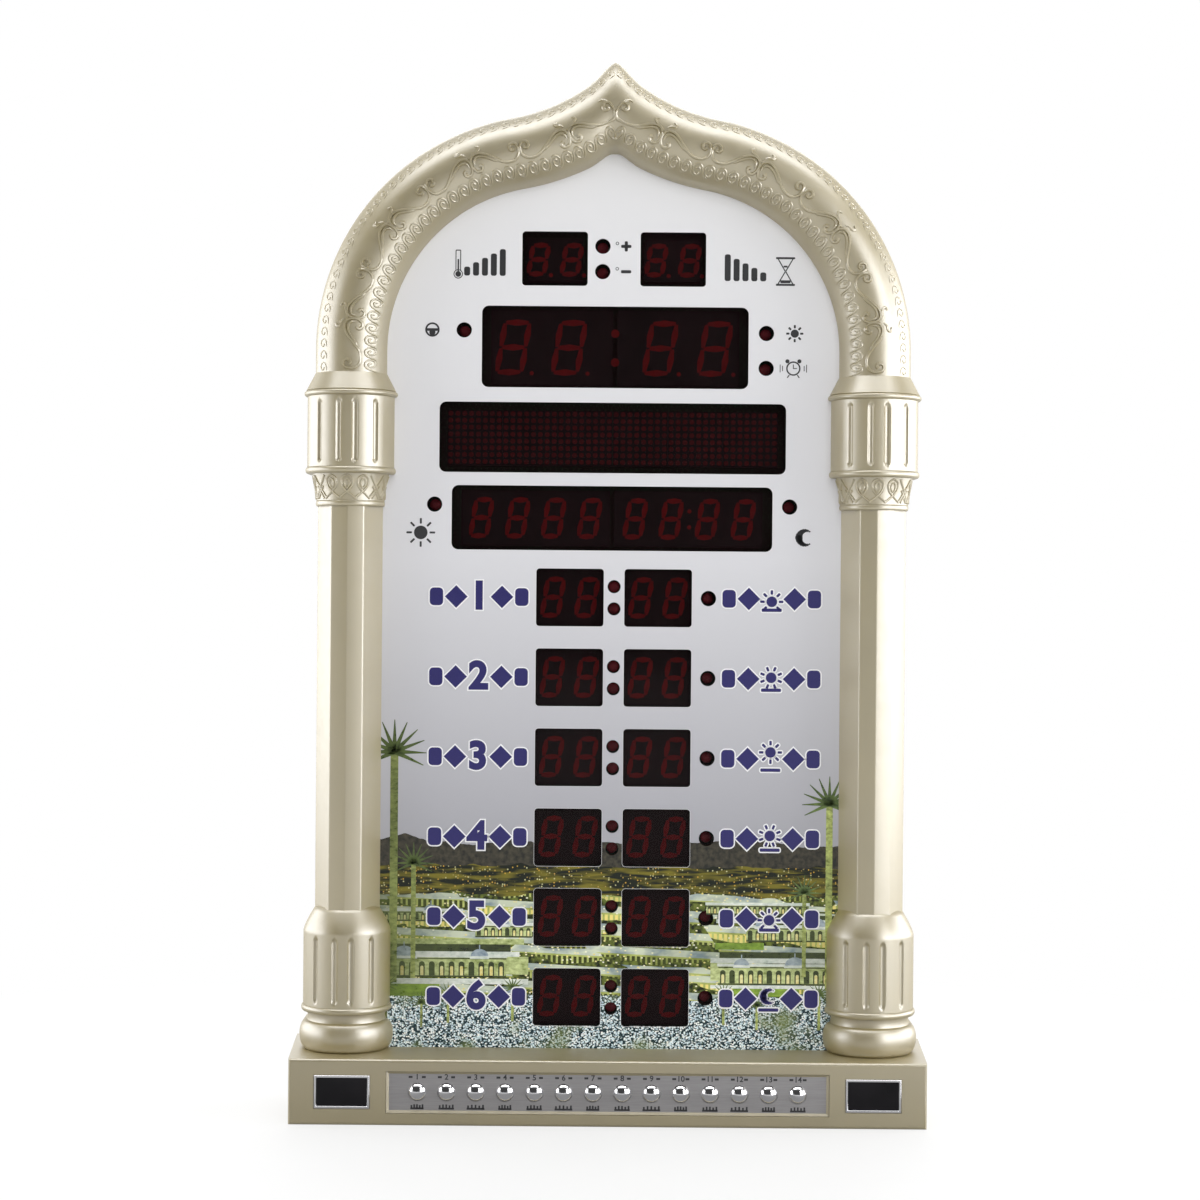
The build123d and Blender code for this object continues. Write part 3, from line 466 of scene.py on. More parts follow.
@finish
def printed_sheet(f):
    """Lilac-white sheet with a printed night town along its foot."""
    c = settings().colours
    x, _, z = f.axes()
    flat, along = f.at(x, 0.0, z), f.at(x, 0.0, 0.0)
    picture = f.ramp(f.between(z, 0.12, 0.42), [(0.0, tuple(c.sheet_low)), (0.43, tuple(c.sheet_mid)),
                                                (1.0, tuple(c.sheet_top))])
    # Each band's wavy top edge in metres, and what is printed under it, from the back to the front.
    bands = [
        (f.noise(26.0, 4.0, 0.55, where=along) * 0.02 + 0.112, night_hills(f, flat)),
        (f.noise(60.0, 3.0, where=along) * 0.008 + 0.107, far_lights(f, flat)),
        (f.noise(34.0, 2.0, where=along) * 0.01 + 0.093, roofs(f, x, z)),
        (f.noise(14.0, 2.0, where=along) * 0.03 + 0.038, crowded_square(f, x, z)),
    ]
    for top, print_ in bands:
        picture = f.blend(top.over(z), picture, print_)
    return f.surface(Base_Color=picture, Roughness=f.drift(700.0, 2.0, 0.2, 0.27), IOR=1.38,
                     Normal=f.bump(f.noise(130.0), 0.02 * MM, 0.35))


def night_hills(f, flat):
    return f.blend(f.between(f.noise(420.0, 4.0, where=flat), 0.35, 0.65), (0.022, 0.022, 0.018),
                   (0.07, 0.062, 0.042))


def far_lights(f, flat):
    """Dark town full of small warm lights and dim rows of windows."""
    near, tint = f.cells(flat, 900.0)
    lit = tint[0].over(0.62) * f.between(near, 0.05, 0.4, 1.0, 0.0)
    x, _, z = f.parts_of(flat)
    row = f.noise(1.0, 2.0, 0.5, where=f.at(x * 60.0, 0.0, z * 420.0))
    ground = f.blend(f.between(row, 0.45, 0.62), (0.008, 0.012, 0.004), (0.2, 0.17, 0.018))
    return f.blend(lit, ground, f.blend(tint[1], (0.9, 0.5, 0.06), (0.95, 0.95, 0.5)))


def roofs(f, x, z):
    """Stepped terraces: pale roofs over lit arcades, with dark trees at their feet."""
    _, tint = f.cells(f.at(x * 0.8 + z * 0.5, 0.0, z * 1.6), 24.0, "CHEBYCHEV")
    level = ((z + x * 0.05 + tint[0] * 0.02) * 125.0).part()
    bay = ((x * 430.0 + tint[1] * 5.0).part() - 0.5).size()
    drift = f.noise(55.0, 4.0, 0.6, where=f.at(x, 0.0, z * 2.0))
    wall = f.blend(f.between(drift, 0.35, 0.62), (0.2, 0.24, 0.03), (0.6, 0.66, 0.2))
    opening = (0.3 - bay).over(0.0) * (0.52 - level).over(0.0)
    wall = f.blend(opening, wall, f.blend(tint[2].over(0.45), (0.05, 0.06, 0.01), (0.95, 0.82, 0.25)))
    roof = f.blend(f.between(drift, 0.38, 0.58), (0.24, 0.32, 0.36), (0.72, 0.78, 0.6))
    trees = f.blend(f.between(f.noise(380.0, 3.0), 0.4, 0.62), (0.01, 0.016, 0.003), (0.16, 0.2, 0.03))
    blocks = f.blend(level.over(0.62), wall, roof)
    grown = f.between(f.noise(30.0, 3.0, where=f.at(x, 0.0, z * 2.0)), 0.4, 0.6, 0.08, 0.55)
    blocks = f.blend(grown.over(level), blocks, trees)
    small, spark = f.cells(f.at(x, 0.0, z * 1.4), 620.0, "CHEBYCHEV")
    pane = spark[1].over(0.82) * (0.26 - small).over(0.0)
    blocks = f.blend(pane, blocks, f.blend(spark[2], (0.95, 0.8, 0.2), (0.95, 0.97, 0.8)))
    # Painted shadow towards the left edge goes over the printed terraces.
    return evening_shade(f, x, z, blocks)


def evening_shade(f, x, z, colour_):
    """Painted shadow darkens the printed town to green at its left edge; noise adds loose green patches.
    """
    patch = f.between(f.noise(24.0, 2.0, where=f.at(x, 0.0, z * 1.5)), 0.5, 0.72, 0.0, 0.4)
    # Painted shadow: dark green that grows towards the left edge.
    edge = f.between(x, -0.102, -0.06, 0.72, 0.0)
    return f.blend(edge.at_least(patch), colour_, (0.045, 0.065, 0.006))


def crowded_square(f, x, z):
    """A pale stippled crowd on dark paving, with greener and emptier patches."""
    near, tint = f.cells(f.at(x, 0.0, z * 1.25), 1150.0)
    person = f.ramp(tint[0], [(0.0, (0.12, 0.17, 0.14)), (0.2, (0.45, 0.6, 0.68)),
                              (0.5, (0.78, 0.92, 0.96)), (1.0, (1.0, 1.0, 0.95))])
    square = f.blend((0.55 - near).over(0.0), (0.02, 0.045, 0.055), person)
    patch = f.between(f.noise(42.0, 3.0, where=f.at(x, 0.0, z)), 0.5, 0.66, 0.0, 0.8)
    return f.blend(patch, square, (0.2, 0.25, 0.07))


@finish
def ink(f, kind):
    """Screen-printed ink, slightly uneven."""
    c = settings().colours
    base = {"label": c.label, "dark": c.ink, "white": c.white_ink}[kind]
    grain = f.between(f.noise(1500.0), 0.35, 0.65, 0.0, 0.5)
    return f.surface(Base_Color=f.blend(grain, base, [min(1.0, v * 1.12 + 0.004) for v in base]),
                     Roughness=f.drift(500.0, 2.0, 0.28, 0.38))


# Dark and light tone of each printed paint of the town.
TOWN_TONES = {
    "wall": ((0.16, 0.22, 0.03), (0.7, 0.78, 0.36)),
    "shade": ((0.008, 0.014, 0.002), (0.06, 0.085, 0.015)),
    "glow": ((0.7, 0.55, 0.12), (0.92, 0.88, 0.45)),
    "dome": ((0.2, 0.27, 0.33), (0.5, 0.58, 0.62)),
    "leaf": ((0.03, 0.06, 0.012), (0.16, 0.24, 0.05)),
    "trunk": ((0.07, 0.1, 0.01), (0.6, 0.68, 0.2)),
    "stone": ((0.5, 0.58, 0.5), (0.92, 0.95, 0.88)),
    "lawn": ((0.08, 0.17, 0.005), (0.34, 0.52, 0.05)),
}


@finish
def town_paint(f, kind):
    """Printed walls, openings, domes and leaves of the night town."""
    x, _, z = f.axes()
    grain = f.noise(330.0, 3.0, 0.6, where=f.at(x, 0.0, z * 1.8))
    fade = f.noise(45.0, 2.0, where=f.at(x, 0.0, z))
    colour_ = f.blend(f.between(grain * 0.6 + fade * 0.4, 0.36, 0.62), *TOWN_TONES[kind])
    # Painted shadow towards the left edge goes over the printed colour.
    return f.surface(Base_Color=evening_shade(f, x, z, colour_), Roughness=f.spread(grain, 0.26, 0.34))


@finish
def smoked_filter(f):
    """Dark red see-through acrylic with a polished face."""
    tint = settings().colours.filter
    return f.mottled((tint, shaded(tint, 1.5)), 22.0, 90.0, (0.05, 0.09), Alpha=0.45, IOR=1.2)


@finish
def digit_module(f):
    """Black faced display block, faintly red where the diffuser shows."""
    shows = f.between(f.noise(160.0, 3.0), 0.35, 0.7)
    return f.surface(Base_Color=f.blend(shows, (0.006, 0.004, 0.004), (0.018, 0.006, 0.007)),
                     Roughness=f.drift(900.0, 2.0, 0.45, 0.6))


@finish
def red_segment(f):
    """Unlit red diffuser of a segment or dot."""
    base = settings().colours.segment
    return f.mottled((shaded(base, 0.8), base), 240.0, 700.0, (0.3, 0.42))


@finish
def dim_dot(f):
    """Unlit dot of the matrix, darker than a segment."""
    base = settings().colours.segment
    return f.mottled((shaded(base, 0.3), shaded(base, 0.45)), 60.0, 700.0, (0.35, 0.5))


@finish
def lamp_red(f):
    """Red tinted epoxy lamp."""
    return f.mottled(((0.8, 0.09, 0.11), (1.0, 0.13, 0.16)), 300.0, 500.0, (0.08, 0.16))


@finish
def silver_plate(f):
    """Brushed silver plate, its grain along the strip."""
    base = settings().colours.silver
    x, y, z = f.axes()
    grain = f.noise(1.0, 3.0, 0.6, where=f.at(x * 90.0, y * 900.0, z * 5200.0))
    return f.grained(grain, (shaded(base, 0.88), shaded(base, 1.1)), (0.36, 0.46), Metallic=0.55,
                     Normal=f.bump(grain, 0.004 * MM, 0.6))


@finish
def bright_chrome(f):
    """Bright plating with the faintest haze."""
    base = settings().colours.chrome
    return f.grained(f.noise(320.0, 3.0), (shaded(base, 0.96), base), (0.05, 0.1), Metallic=1.0)


@finish
def black_lens(f):
    """Polished dark window over a sensor."""
    return f.mottled(((0.004, 0.004, 0.005), (0.01, 0.009, 0.011)), 60.0, 200.0, (0.03, 0.06), IOR=1.3)


@finish
def moulded_plastic(f, kind):
    """Matt moulded plastic with a fine spark-eroded grain."""
    base = {"cover": settings().colours.cover, "black": (0.022, 0.022, 0.024),
            "white": (0.74, 0.73, 0.69)}[kind]
    grain = f.noise(2600.0, 3.0)
    return f.surface(Base_Color=f.blend(f.drift(30.0, 3.0), shaded(base, 0.9), shaded(base, 1.12)),
                     Roughness=f.spread(grain, 0.48, 0.62), Normal=f.bump(grain, 0.03 * MM, 0.6))


@finish
def circuit_board(f):
    """Green solder mask with faint tracks under it."""
    x, _, z = f.axes()
    tracks = ((x * 2400.0).wave() * (z * 1500.0).wave()).over(0.55)
    return f.surface(Base_Color=f.blend(tracks * 0.6, (0.008, 0.075, 0.03), (0.03, 0.17, 0.07)),
                     Roughness=f.drift(600.0, 2.0, 0.3, 0.42))


@finish
def plain_metal(f, kind):
    """Plated, pressed, can or ferrite metal, each with its own tone."""
    base, metallic, rough = {
        "plated": ((0.55, 0.55, 0.57), 1.0, 0.28), "pressed": ((0.06, 0.06, 0.065), 0.6, 0.42),
        "can": ((0.2, 0.22, 0.3), 0.7, 0.35), "ferrite": ((0.07, 0.07, 0.075), 0.3, 0.6)}[kind]
    wear = f.noise(420.0, 4.0)
    return f.grained(wear, (shaded(base, 0.86), shaded(base, 1.1)), (rough - 0.05, rough + 0.08),
                     Metallic=metallic, Normal=f.bump(f.noise(1400.0), 0.01 * MM, 0.4))


@finish
def cone_paper(f):
    """Pressed dark paper with short fibres."""
    fibre = f.noise(1700.0, 5.0, 0.7, distortion=1.5)
    return f.grained(fibre, ((0.02, 0.02, 0.02), (0.07, 0.068, 0.065)), (0.75, 0.9),
                     Normal=f.bump(fibre, 0.06 * MM, 0.8))


@finish
def cable_sheath(f):
    """Soft grey cable covering."""
    return f.grained(f.noise(800.0, 3.0), ((0.2, 0.2, 0.21), (0.3, 0.3, 0.31)), (0.5, 0.62))


# ---- Mesh helpers ----

def new_object(name, data):
    """Puts a new object into the scene."""
    made = bpy.data.objects.new(name, data)
    bpy.context.scene.collection.objects.link(made)
    return made


def finished(bm, name, material, body="root", stands_for=(), smooth=None, turn_out=True,
             weighted=False):
    """Turns a bmesh into a piece that rides on a body."""
    bmesh.ops.remove_doubles(bm, verts=bm.verts, dist=WELD)
    if turn_out:
        bmesh.ops.recalc_face_normals(bm, faces=bm.faces)
    mesh = mesh_of(bm, name)
    if smooth is not None:
        mesh.shade_smooth()
        mesh.set_sharp_from_angle(angle=radians(smooth))
    piece = new_object(name, mesh)
    if weighted:
        modifier = piece.modifiers.new("Weighted normals", "WEIGHTED_NORMAL")
        modifier.keep_sharp = True
    mesh.materials.append(material)
    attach(piece, body)
    if stands_for:
        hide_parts(*stands_for)
    return piece


def cast_piece(bm, name, smooth, turn_out=True):
    """A painted piece of the arch frame."""
    finished(bm, name, champagne_paint(), stands_for=["arch_frame"],
             smooth=smooth, turn_out=turn_out)


def mesh_of(bm, name="template"):
    mesh = bpy.data.meshes.new(name)
    bm.to_mesh(mesh)
    bm.free()
    return mesh


def mesh_from(curve):
    """The mesh of a curve or a figure, which is dropped afterwards."""
    holder = new_object(curve.name, curve)
    bpy.context.view_layer.update()
    mesh = bpy.data.meshes.new_from_object(holder.evaluated_get(bpy.context.evaluated_depsgraph_get()))
    bpy.data.objects.remove(holder)
    bpy.data.curves.remove(curve)
    return mesh


def stamp(bm, mesh, x, y, z, turn=0.0):
    """Adds a copy of a ready mesh at a place, turned about Y."""
    start = len(bm.verts)
    bm.from_mesh(mesh)
    bm.verts.ensure_lookup_table()
    matrix = Matrix.Translation((x, y, z)) @ Matrix.Rotation(turn, 4, "Y")
    bmesh.ops.transform(bm, matrix=matrix, verts=bm.verts[start:])


def verts_in(geom):
    return [e for e in geom if isinstance(e, bmesh.types.BMVert)]


def everything(bm):
    return bm.verts[:] + bm.edges[:] + bm.faces[:]


def chain(bm, points):
    """A row of points joined by edges."""
    verts = [bm.verts.new(p) for p in points]
    edges = [bm.edges.new(pair) for pair in zip(verts, verts[1:])]
    return verts, edges


def drawn_out(bm, edges, way):
    """Draws edges out into faces along a way and returns the new points and edges."""
    grown = bmesh.ops.extrude_edge_only(bm, edges=edges)["geom"]
    bmesh.ops.translate(bm, vec=way, verts=verts_in(grown))
    return grown


def swept(bm, geom, centre, axis, turn, steps):
    """Turns points and edges round an axis into a surface and returns its last row."""
    return bmesh.ops.spin(bm, geom=geom, cent=centre, axis=axis, angle=turn, steps=steps,
                          use_merge=False, use_duplicate=False)["geom_last"]


def soften(bm, geom, offset, segments, affect="EDGES"):
    """Rounds edges, or the corners of a flat shape."""
    bmesh.ops.bevel(bm, geom=geom, offset=offset, segments=segments, affect=affect, profile=0.5,
                    material=-1)


def walled(bm, wall):
    """Turns an open surface towards the viewer and gives it a wall."""
    bmesh.ops.recalc_face_normals(bm, faces=bm.faces)
    if sum(face.normal.dot(TO_VIEWER) * face.calc_area() for face in bm.faces) < 0:
        bmesh.ops.reverse_faces(bm, faces=bm.faces[:])
    bmesh.ops.solidify(bm, geom=bm.faces[:], thickness=wall)


def flat_square(bm, width, height):
    """A flat rectangle in X and Z round the origin, as its four points."""
    made = bmesh.ops.create_grid(bm, x_segments=1, y_segments=1, size=0.5)["verts"]
    bmesh.ops.rotate(bm, matrix=Matrix.Rotation(pi / 2, 3, "X"), verts=made)
    bmesh.ops.scale(bm, vec=(width, 1.0, height), verts=made)
    return made


def flat_plate(bm, width, height, corner=0.0, corner_steps=4):
    """A flat rectangle in X and Z round the origin, its corners rounded."""
    made = flat_square(bm, width, height)
    if corner:
        soften(bm, made, corner, corner_steps, "VERTICES")
    return bm.faces[:]


def flat_disc(bm, radius, segments=28):
    """A flat disc in X and Z round the origin."""
    bmesh.ops.create_circle(bm, cap_ends=True, segments=segments, radius=radius)
    bmesh.ops.rotate(bm, matrix=Matrix.Rotation(pi / 2, 3, "X"), verts=bm.verts)
    return bm.faces[:]


def rim_only(bm, thickness):
    """Keeps only a rim of a flat face."""
    rim = bmesh.ops.inset_region(bm, faces=bm.faces[:], thickness=thickness, use_boundary=True,
                                 use_even_offset=True)["faces"]
    bmesh.ops.delete(bm, geom=[face for face in bm.faces if face not in rim], context="FACES")
    return bm.faces[:]


def flat_frame(bm, width, height, line, corner=0.0):
    """A flat rectangular frame in X and Z round the origin."""
    flat_plate(bm, width, height, corner)
    return rim_only(bm, line)


def thicken(bm, faces, front, back):
    """Gives flat faces in X and Z a thickness between two depths."""
    verts = list({v for face in faces for v in face.verts})
    bmesh.ops.translate(bm, vec=(0.0, back, 0.0), verts=verts)
    grown = bmesh.ops.extrude_face_region(bm, geom=faces, use_keep_orig=True)["geom"]
    bmesh.ops.translate(bm, vec=(0.0, front - back, 0.0), verts=verts_in(grown))


def slab(faces_of, front, back):
    """A ready mesh of the flat faces that faces_of(bm) draws, between two depths."""
    bm = bmesh.new()
    thicken(bm, faces_of(bm), front, back)
    return mesh_of(bm)


def drawn(strokes, radius, steps=3):
    """Raised lines on the flat in X and Y as one mesh; a stroke is (points, width at its two ends)."""
    curve = bpy.data.curves.new("strokes", "CURVE")
    curve.dimensions = "3D"
    curve.bevel_depth = radius
    curve.bevel_resolution = 1
    curve.use_fill_caps = True
    curve.resolution_u = steps
    for points, start_width, end_width in strokes:
        spline = curve.splines.new("BEZIER")
        last = len(points) - 1
        spline.bezier_points.add(last)
        for i, (point, (x, y)) in enumerate(zip(spline.bezier_points, points)):
            point.co = (x, y, 0.0)
            point.handle_left_type = point.handle_right_type = "AUTO"
            near = min(i, last - i) / last * 2
            end = start_width if i < last / 2 else end_width
            point.radius = end + (1.0 - end) * min(1.0, near * 2.5)
    return mesh_from(curve)


def lettering(text, height, thickness, grow=0.0):
    """A figure as a closed flat mesh standing in X and Z, centred on the origin."""
    curve = bpy.data.curves.new("figure", "FONT")
    curve.body = text
    curve.size = height / 0.7     # a figure is 0.7 of its font's size high
    curve.extrude = thickness / 2
    curve.offset = grow
    curve.align_x = "CENTER"
    curve.align_y = "CENTER"
    curve.resolution_u = 6
    mesh = mesh_from(curve)
    mesh.transform(Matrix.Rotation(pi / 2, 4, "X"))
    return mesh


def smoothed_copy(node, name, material, smooth):
    """A welded, smoothly shaded copy of a CAD node that stands for it."""
    bm = bmesh.new()
    bm.from_mesh(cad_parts[node].data)
    bmesh.ops.remove_doubles(bm, verts=bm.verts, dist=WELD)
    bmesh.ops.dissolve_limit(bm, angle_limit=radians(0.4), verts=bm.verts, edges=bm.edges,
                             delimit={"NORMAL"})
    return finished(bm, name, material, stands_for=[node], smooth=smooth, turn_out=False,
                    weighted=True)


def dress(node, material):
    """Gives a CAD node its material."""
    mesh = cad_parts[node].data
    mesh.materials.clear()
    mesh.materials.append(material)


# ---- Arch ----

class ArchLine:
    """The moulding's centre line on the right, from its foot to the point."""

    def __init__(self, sizes):
        self.sizes = sizes
        self.centre = Vector((sizes.column_x - sizes.radius, 0.0, sizes.spring_z))
        reach = sizes.radius + sizes.ogee_radius
        turn = sizes.ogee_turn
        self.ogee = self.centre + Vector((reach * sin(turn), 0.0, reach * cos(turn)))
        self.leg = sizes.spring_z - sizes.foot_z
        self.main_sweep = pi / 2 - turn
        self.main = sizes.radius * self.main_sweep
        self.last_sweep = asin(self.ogee.x / sizes.ogee_radius) - turn
        self.last = sizes.ogee_radius * self.last_sweep
        self.total = self.leg + self.main + self.last

    def frame_at(self, s):
        """Point on the centre line and the direction away from the face's middle."""
        sizes = self.sizes
        if s < self.leg:
            return Vector((sizes.column_x, 0.0, sizes.foot_z + s)), Vector((1.0, 0.0, 0.0))
        if s < self.leg + self.main:
            turn = (s - self.leg) / sizes.radius
            out = Vector((cos(turn), 0.0, sin(turn)))
            return self.centre + out * sizes.radius, out
        turn = (s - self.leg - self.main) / sizes.ogee_radius + sizes.ogee_turn
        out = Vector((sin(turn), 0.0, cos(turn)))
        return self.ogee - out * sizes.ogee_radius, out

    def stretch(self, offset):
        """Lengths of the three parts at a distance outside the centre line, up to the middle plane."""
        sizes = self.sizes
        last = sizes.ogee_radius - offset
        sweep = asin(self.ogee.x / last) - sizes.ogee_turn
        return self.leg, self.main_sweep * (sizes.radius + offset), last * sweep

    def along(self, run, offset):
        """Centre line length for a run measured at an offset."""
        leg, main, _ = self.stretch(offset)
        if run < leg:
            return run
        if run < leg + main:
            return self.leg + (run - leg) * self.main / main
        over = run - leg - main
        return self.leg + self.main + over * self.sizes.ogee_radius / (self.sizes.ogee_radius - offset)

    def on_surface(self, s, across, lift):
        """Point on the half-round face: along, across and above it."""
        point, out = self.frame_at(s)
        radius = self.sizes.half_width
        turn = asin(max(-0.999, min(0.999, across / radius)))
        high = radius + lift
        return point + out * (high * sin(turn)) + Vector((0.0, -high * cos(turn), 0.0))


def both_halves(bm, ease):
    """Cuts at the middle plane, mirrors across it and rounds the point and its crease."""
    bmesh.ops.bisect_plane(bm, geom=everything(bm), plane_co=(0.0, 0.0, 0.0), plane_no=(-1.0, 0.0, 0.0),
                           clear_outer=True, dist=WELD)
    bmesh.ops.mirror(bm, geom=everything(bm), axis="X", merge_dist=WELD)
    reach = 3 * ease              # how far the crease is lifted on each side
    for v in bm.verts:
        away = abs(v.co.x)
        if away < ease:
            v.co.z -= 0.8 * ((away ** 2 + ease ** 2) / (2 * ease) - away)
        if away < reach:
            v.co.z += 0.4 * ease * (1.0 - (away / reach) ** 2) ** 2


SECTION_STEPS = 40            # faces round the half-round section
CURVE_STEPS = 84              # rows along the main curve
POINT_STEPS = 90              # rows along the counter-curve


class AZAN_OT_arch_moulding(Operator):
    """Half-round moulding: two legs, the main curve and the counter-curve to the point"""

    bl_idname = "azan.arch_moulding"
    bl_label = "Arch moulding"

    def execute(self, context):
        sizes = context.scene.azan_clock.arch
        line = ArchLine(sizes)
        sunk = 2 * MM                 # how far the legs stand in the capitals
        past_middle = radians(18)     # carried on past the middle plane, where both_halves cuts it
        bm = bmesh.new()
        start = bm.verts.new((sizes.column_x - sizes.half_width, 0.0, sizes.foot_z - sunk))
        axis_foot = (sizes.column_x, 0.0, 0.0)
        tip = verts_in(swept(bm, [start], axis_foot, (0.0, 0.0, 1.0), pi, SECTION_STEPS))
        back = bmesh.ops.extrude_vert_indiv(bm, verts=tip)["verts"]
        bmesh.ops.translate(bm, vec=(0.0, sizes.skirt, 0.0), verts=back)
        leg = drawn_out(bm, bm.edges[:], (0.0, 0.0, line.leg + sunk))
        top = verts_in(leg)
        ends = [e for e in leg if isinstance(e, bmesh.types.BMEdge) and all(v in top for v in e.verts)]
        rim = swept(bm, ends + top, line.centre, (0.0, -1.0, 0.0), line.main_sweep, CURVE_STEPS)
        swept(bm, rim, line.ogee, (0.0, 1.0, 0.0), line.last_sweep + past_middle, POINT_STEPS)
        both_halves(bm, sizes.point_ease)
        bmesh.ops.remove_doubles(bm, verts=bm.verts, dist=WELD)
        walled(bm, sizes.wall)
        cast_piece(bm, "arch_moulding", smooth=38, turn_out=False)
        return {"FINISHED"}


# One S-scroll of the vine, in millimetres along and outwards, from its outer curl to its inner curl.
SCROLL = [(2.1, -0.3), (3.1, -0.9), (4.2, 0.2), (3.5, 1.9), (1.5, 1.9), (0.5, -0.2), (0.6, -2.8),
          (2.2, -4.8), (4.7, -5.5), (7.6, -5.0), (11.5, -2.4), (15.3, 0.6), (18.5, 2.0), (21.2, 1.3),
          (22.3, -1.2), (22.0, -4.0), (20.3, -5.7), (18.6, -5.3), (18.1, -3.9), (19.3, -3.2)]
INNER_STEM = [(9.3, -3.9), (11.5, -3.3), (14.6, -1.1), (17.1, 0.3), (19.2, 0.5), (20.8, -0.6),
              (21.1, -2.6)]
LONG_LEAF = [(22.4, 0.9), (24.9, 2.3), (27.4, 3.3), (28.2, 4.4), (26.9, 5.4)]
SHORT_LEAF = [(21.6, 2.9), (20.4, 4.1), (18.4, 4.5), (18.1, 5.5), (19.6, 6.2)]
POINT_LEAF = [(-1.2, 1.6), (-1.6, 3.2), (-2.6, 4.6), (-4.0, 5.0)]
SCROLL_LENGTH = 22.5
# One running wave and one small curl, as shares of their pitch along and of their height outwards.
WAVE = [(-0.42, 0.1), (-0.2, 0.02), (0.0, 0.14), (0.13, 0.5), (0.3, 0.88), (0.58, 1.0), (0.86, 0.84),
        (0.95, 0.5), (0.82, 0.2), (0.57, 0.14), (0.38, 0.36), (0.4, 0.62), (0.58, 0.72), (0.7, 0.52)]
CURL = [(0.1, 0.0), (0.55, 0.12), (0.8, 0.5), (0.6, 0.9), (0.25, 0.86), (0.16, 0.56), (0.38, 0.42)]


def scaled(points, along, across):
    return [(x * along, y * across) for x, y in points]


class AZAN_OT_arch_relief(Operator):
    """Vine of S-scrolls on the crown, running waves inside it and small curls outside it"""

    bl_idname = "azan.arch_relief"
    bl_label = "Arch relief"

    def execute(self, context):
        s = context.scene.azan_clock.arch
        self.line = ArchLine(s)
        self.vine(s)
        self.repeat("wave_band", WAVE, s.wave_pitch, s.wave_height, -s.wave_offset, s.wave_line, steps=3)
        self.repeat("rim_curls", CURL, s.curl_pitch, s.curl_height, s.curl_offset, s.curl_line, steps=2)
        return {"FINISHED"}

    def lay(self, bm, name, offset):
        """Carries the flat relief onto the half-round face and closes it as a piece."""
        for v in bm.verts:
            v.co = self.line.on_surface(self.line.along(v.co.x, offset), v.co.y, v.co.z)
        both_halves(bm, self.line.sizes.point_ease)
        cast_piece(bm, name, smooth=60)

    def vine(self, sizes):
        """Scrolls that turn over by turns, leaves on every other one and a small crown at the point."""
        pitch = (self.line.total - sizes.vine_spare) / sizes.scroll_count
        along = pitch / SCROLL_LENGTH
        scroll = drawn([(scaled(SCROLL, along, MM), 1.3, 1.3), (scaled(INNER_STEM, along, MM), 0.4, 0.4)],
                       sizes.scroll_line, steps=4)
        leaf = drawn([(scaled(shape, along, MM), 0.6, 0.9) for shape in (LONG_LEAF, SHORT_LEAF)],
                     sizes.scroll_line * 0.85)
        crown = drawn([(scaled(POINT_LEAF, MM, MM), 0.9, 0.7)], sizes.scroll_line * 0.8)
        turned = scroll.copy()
        turned.transform(Matrix.Scale(-1, 4, (1, 0, 0)))
        bm = bmesh.new()
        for i in range(sizes.scroll_count):
            if i % 2:
                stamp(bm, turned, (i + 1) * pitch, 0.0, 0.0)
            else:
                stamp(bm, scroll, i * pitch, 0.0, 0.0)
                stamp(bm, leaf, i * pitch, 0.0, 0.0)
        stamp(bm, crown, sizes.scroll_count * pitch, 0.0, 0.0)
        bmesh.ops.translate(bm, vec=(sizes.vine_start, 0.0, 0.0), verts=bm.verts)
        self.lay(bm, "vine_scrolls", 0.0)

    def repeat(self, name, shape, pitch, height, offset, radius, steps):
        """A band of one shape over and over, its pitch trimmed to end at the middle plane."""
        room = sum(self.line.stretch(offset))
        count = int(round(room / pitch))
        step = room / count
        unit = drawn([([(x * step, (y - 0.5) * height + offset) for x, y in shape], 0.5, 1.2)], radius,
                     steps=steps)
        bm = bmesh.new()
        for i in range(count):
            stamp(bm, unit, i * step, 0.0, 0.0)
        for v in bm.verts:
            v.co.x = max(v.co.x, 0.0)
        self.lay(bm, name, offset)


# ---- Columns ----

class ColumnHeights:
    """Levels of a column's mouldings, from the base up and from the arch down."""

    def __init__(self, sizes, foot, cap_top):
        self.foot = foot
        self.torus = foot + sizes.torus_height
        self.scotia = self.torus + sizes.scotia_height
        self.ring = self.scotia + sizes.ring_height
        self.drum = self.ring + sizes.drum_low_height
        self.shoulder = self.drum + sizes.shoulder_height
        self.cap_top = cap_top
        self.flange = cap_top - sizes.cap_height
        self.high_drum_top = self.flange - sizes.flange_height
        self.high_drum = self.high_drum_top - sizes.drum_high_height
        self.necking = self.high_drum - sizes.ring_height
        self.neck = self.necking - sizes.necking_height
        self.shaft_top = self.neck - sizes.neck_ring_height


def bulge(radius, low, high, out, count=6):
    """Points of a round moulding between two levels, standing out from a radius."""
    return [(radius + out * sin(pi * i / count), low + (high - low) * (1 - cos(pi * i / count)) / 2)
            for i in range(count + 1)]


def neck_radius_at(sizes, share):
    """Radius of the hollow patterned neck at a share of its height."""
    return sizes.neck_radius + (sizes.necking_radius - sizes.neck_radius) * share ** 1.7


DRUM_ROWS = 44                             # rows of faces up a drum, fine enough for its flutes
TURNS = [(30, 8), (120, 132), (30, 8)]     # degrees and steps round the front half, finest in the middle
COLUMN_WALL = 0.8                          # a column's wall as a share of the arch's


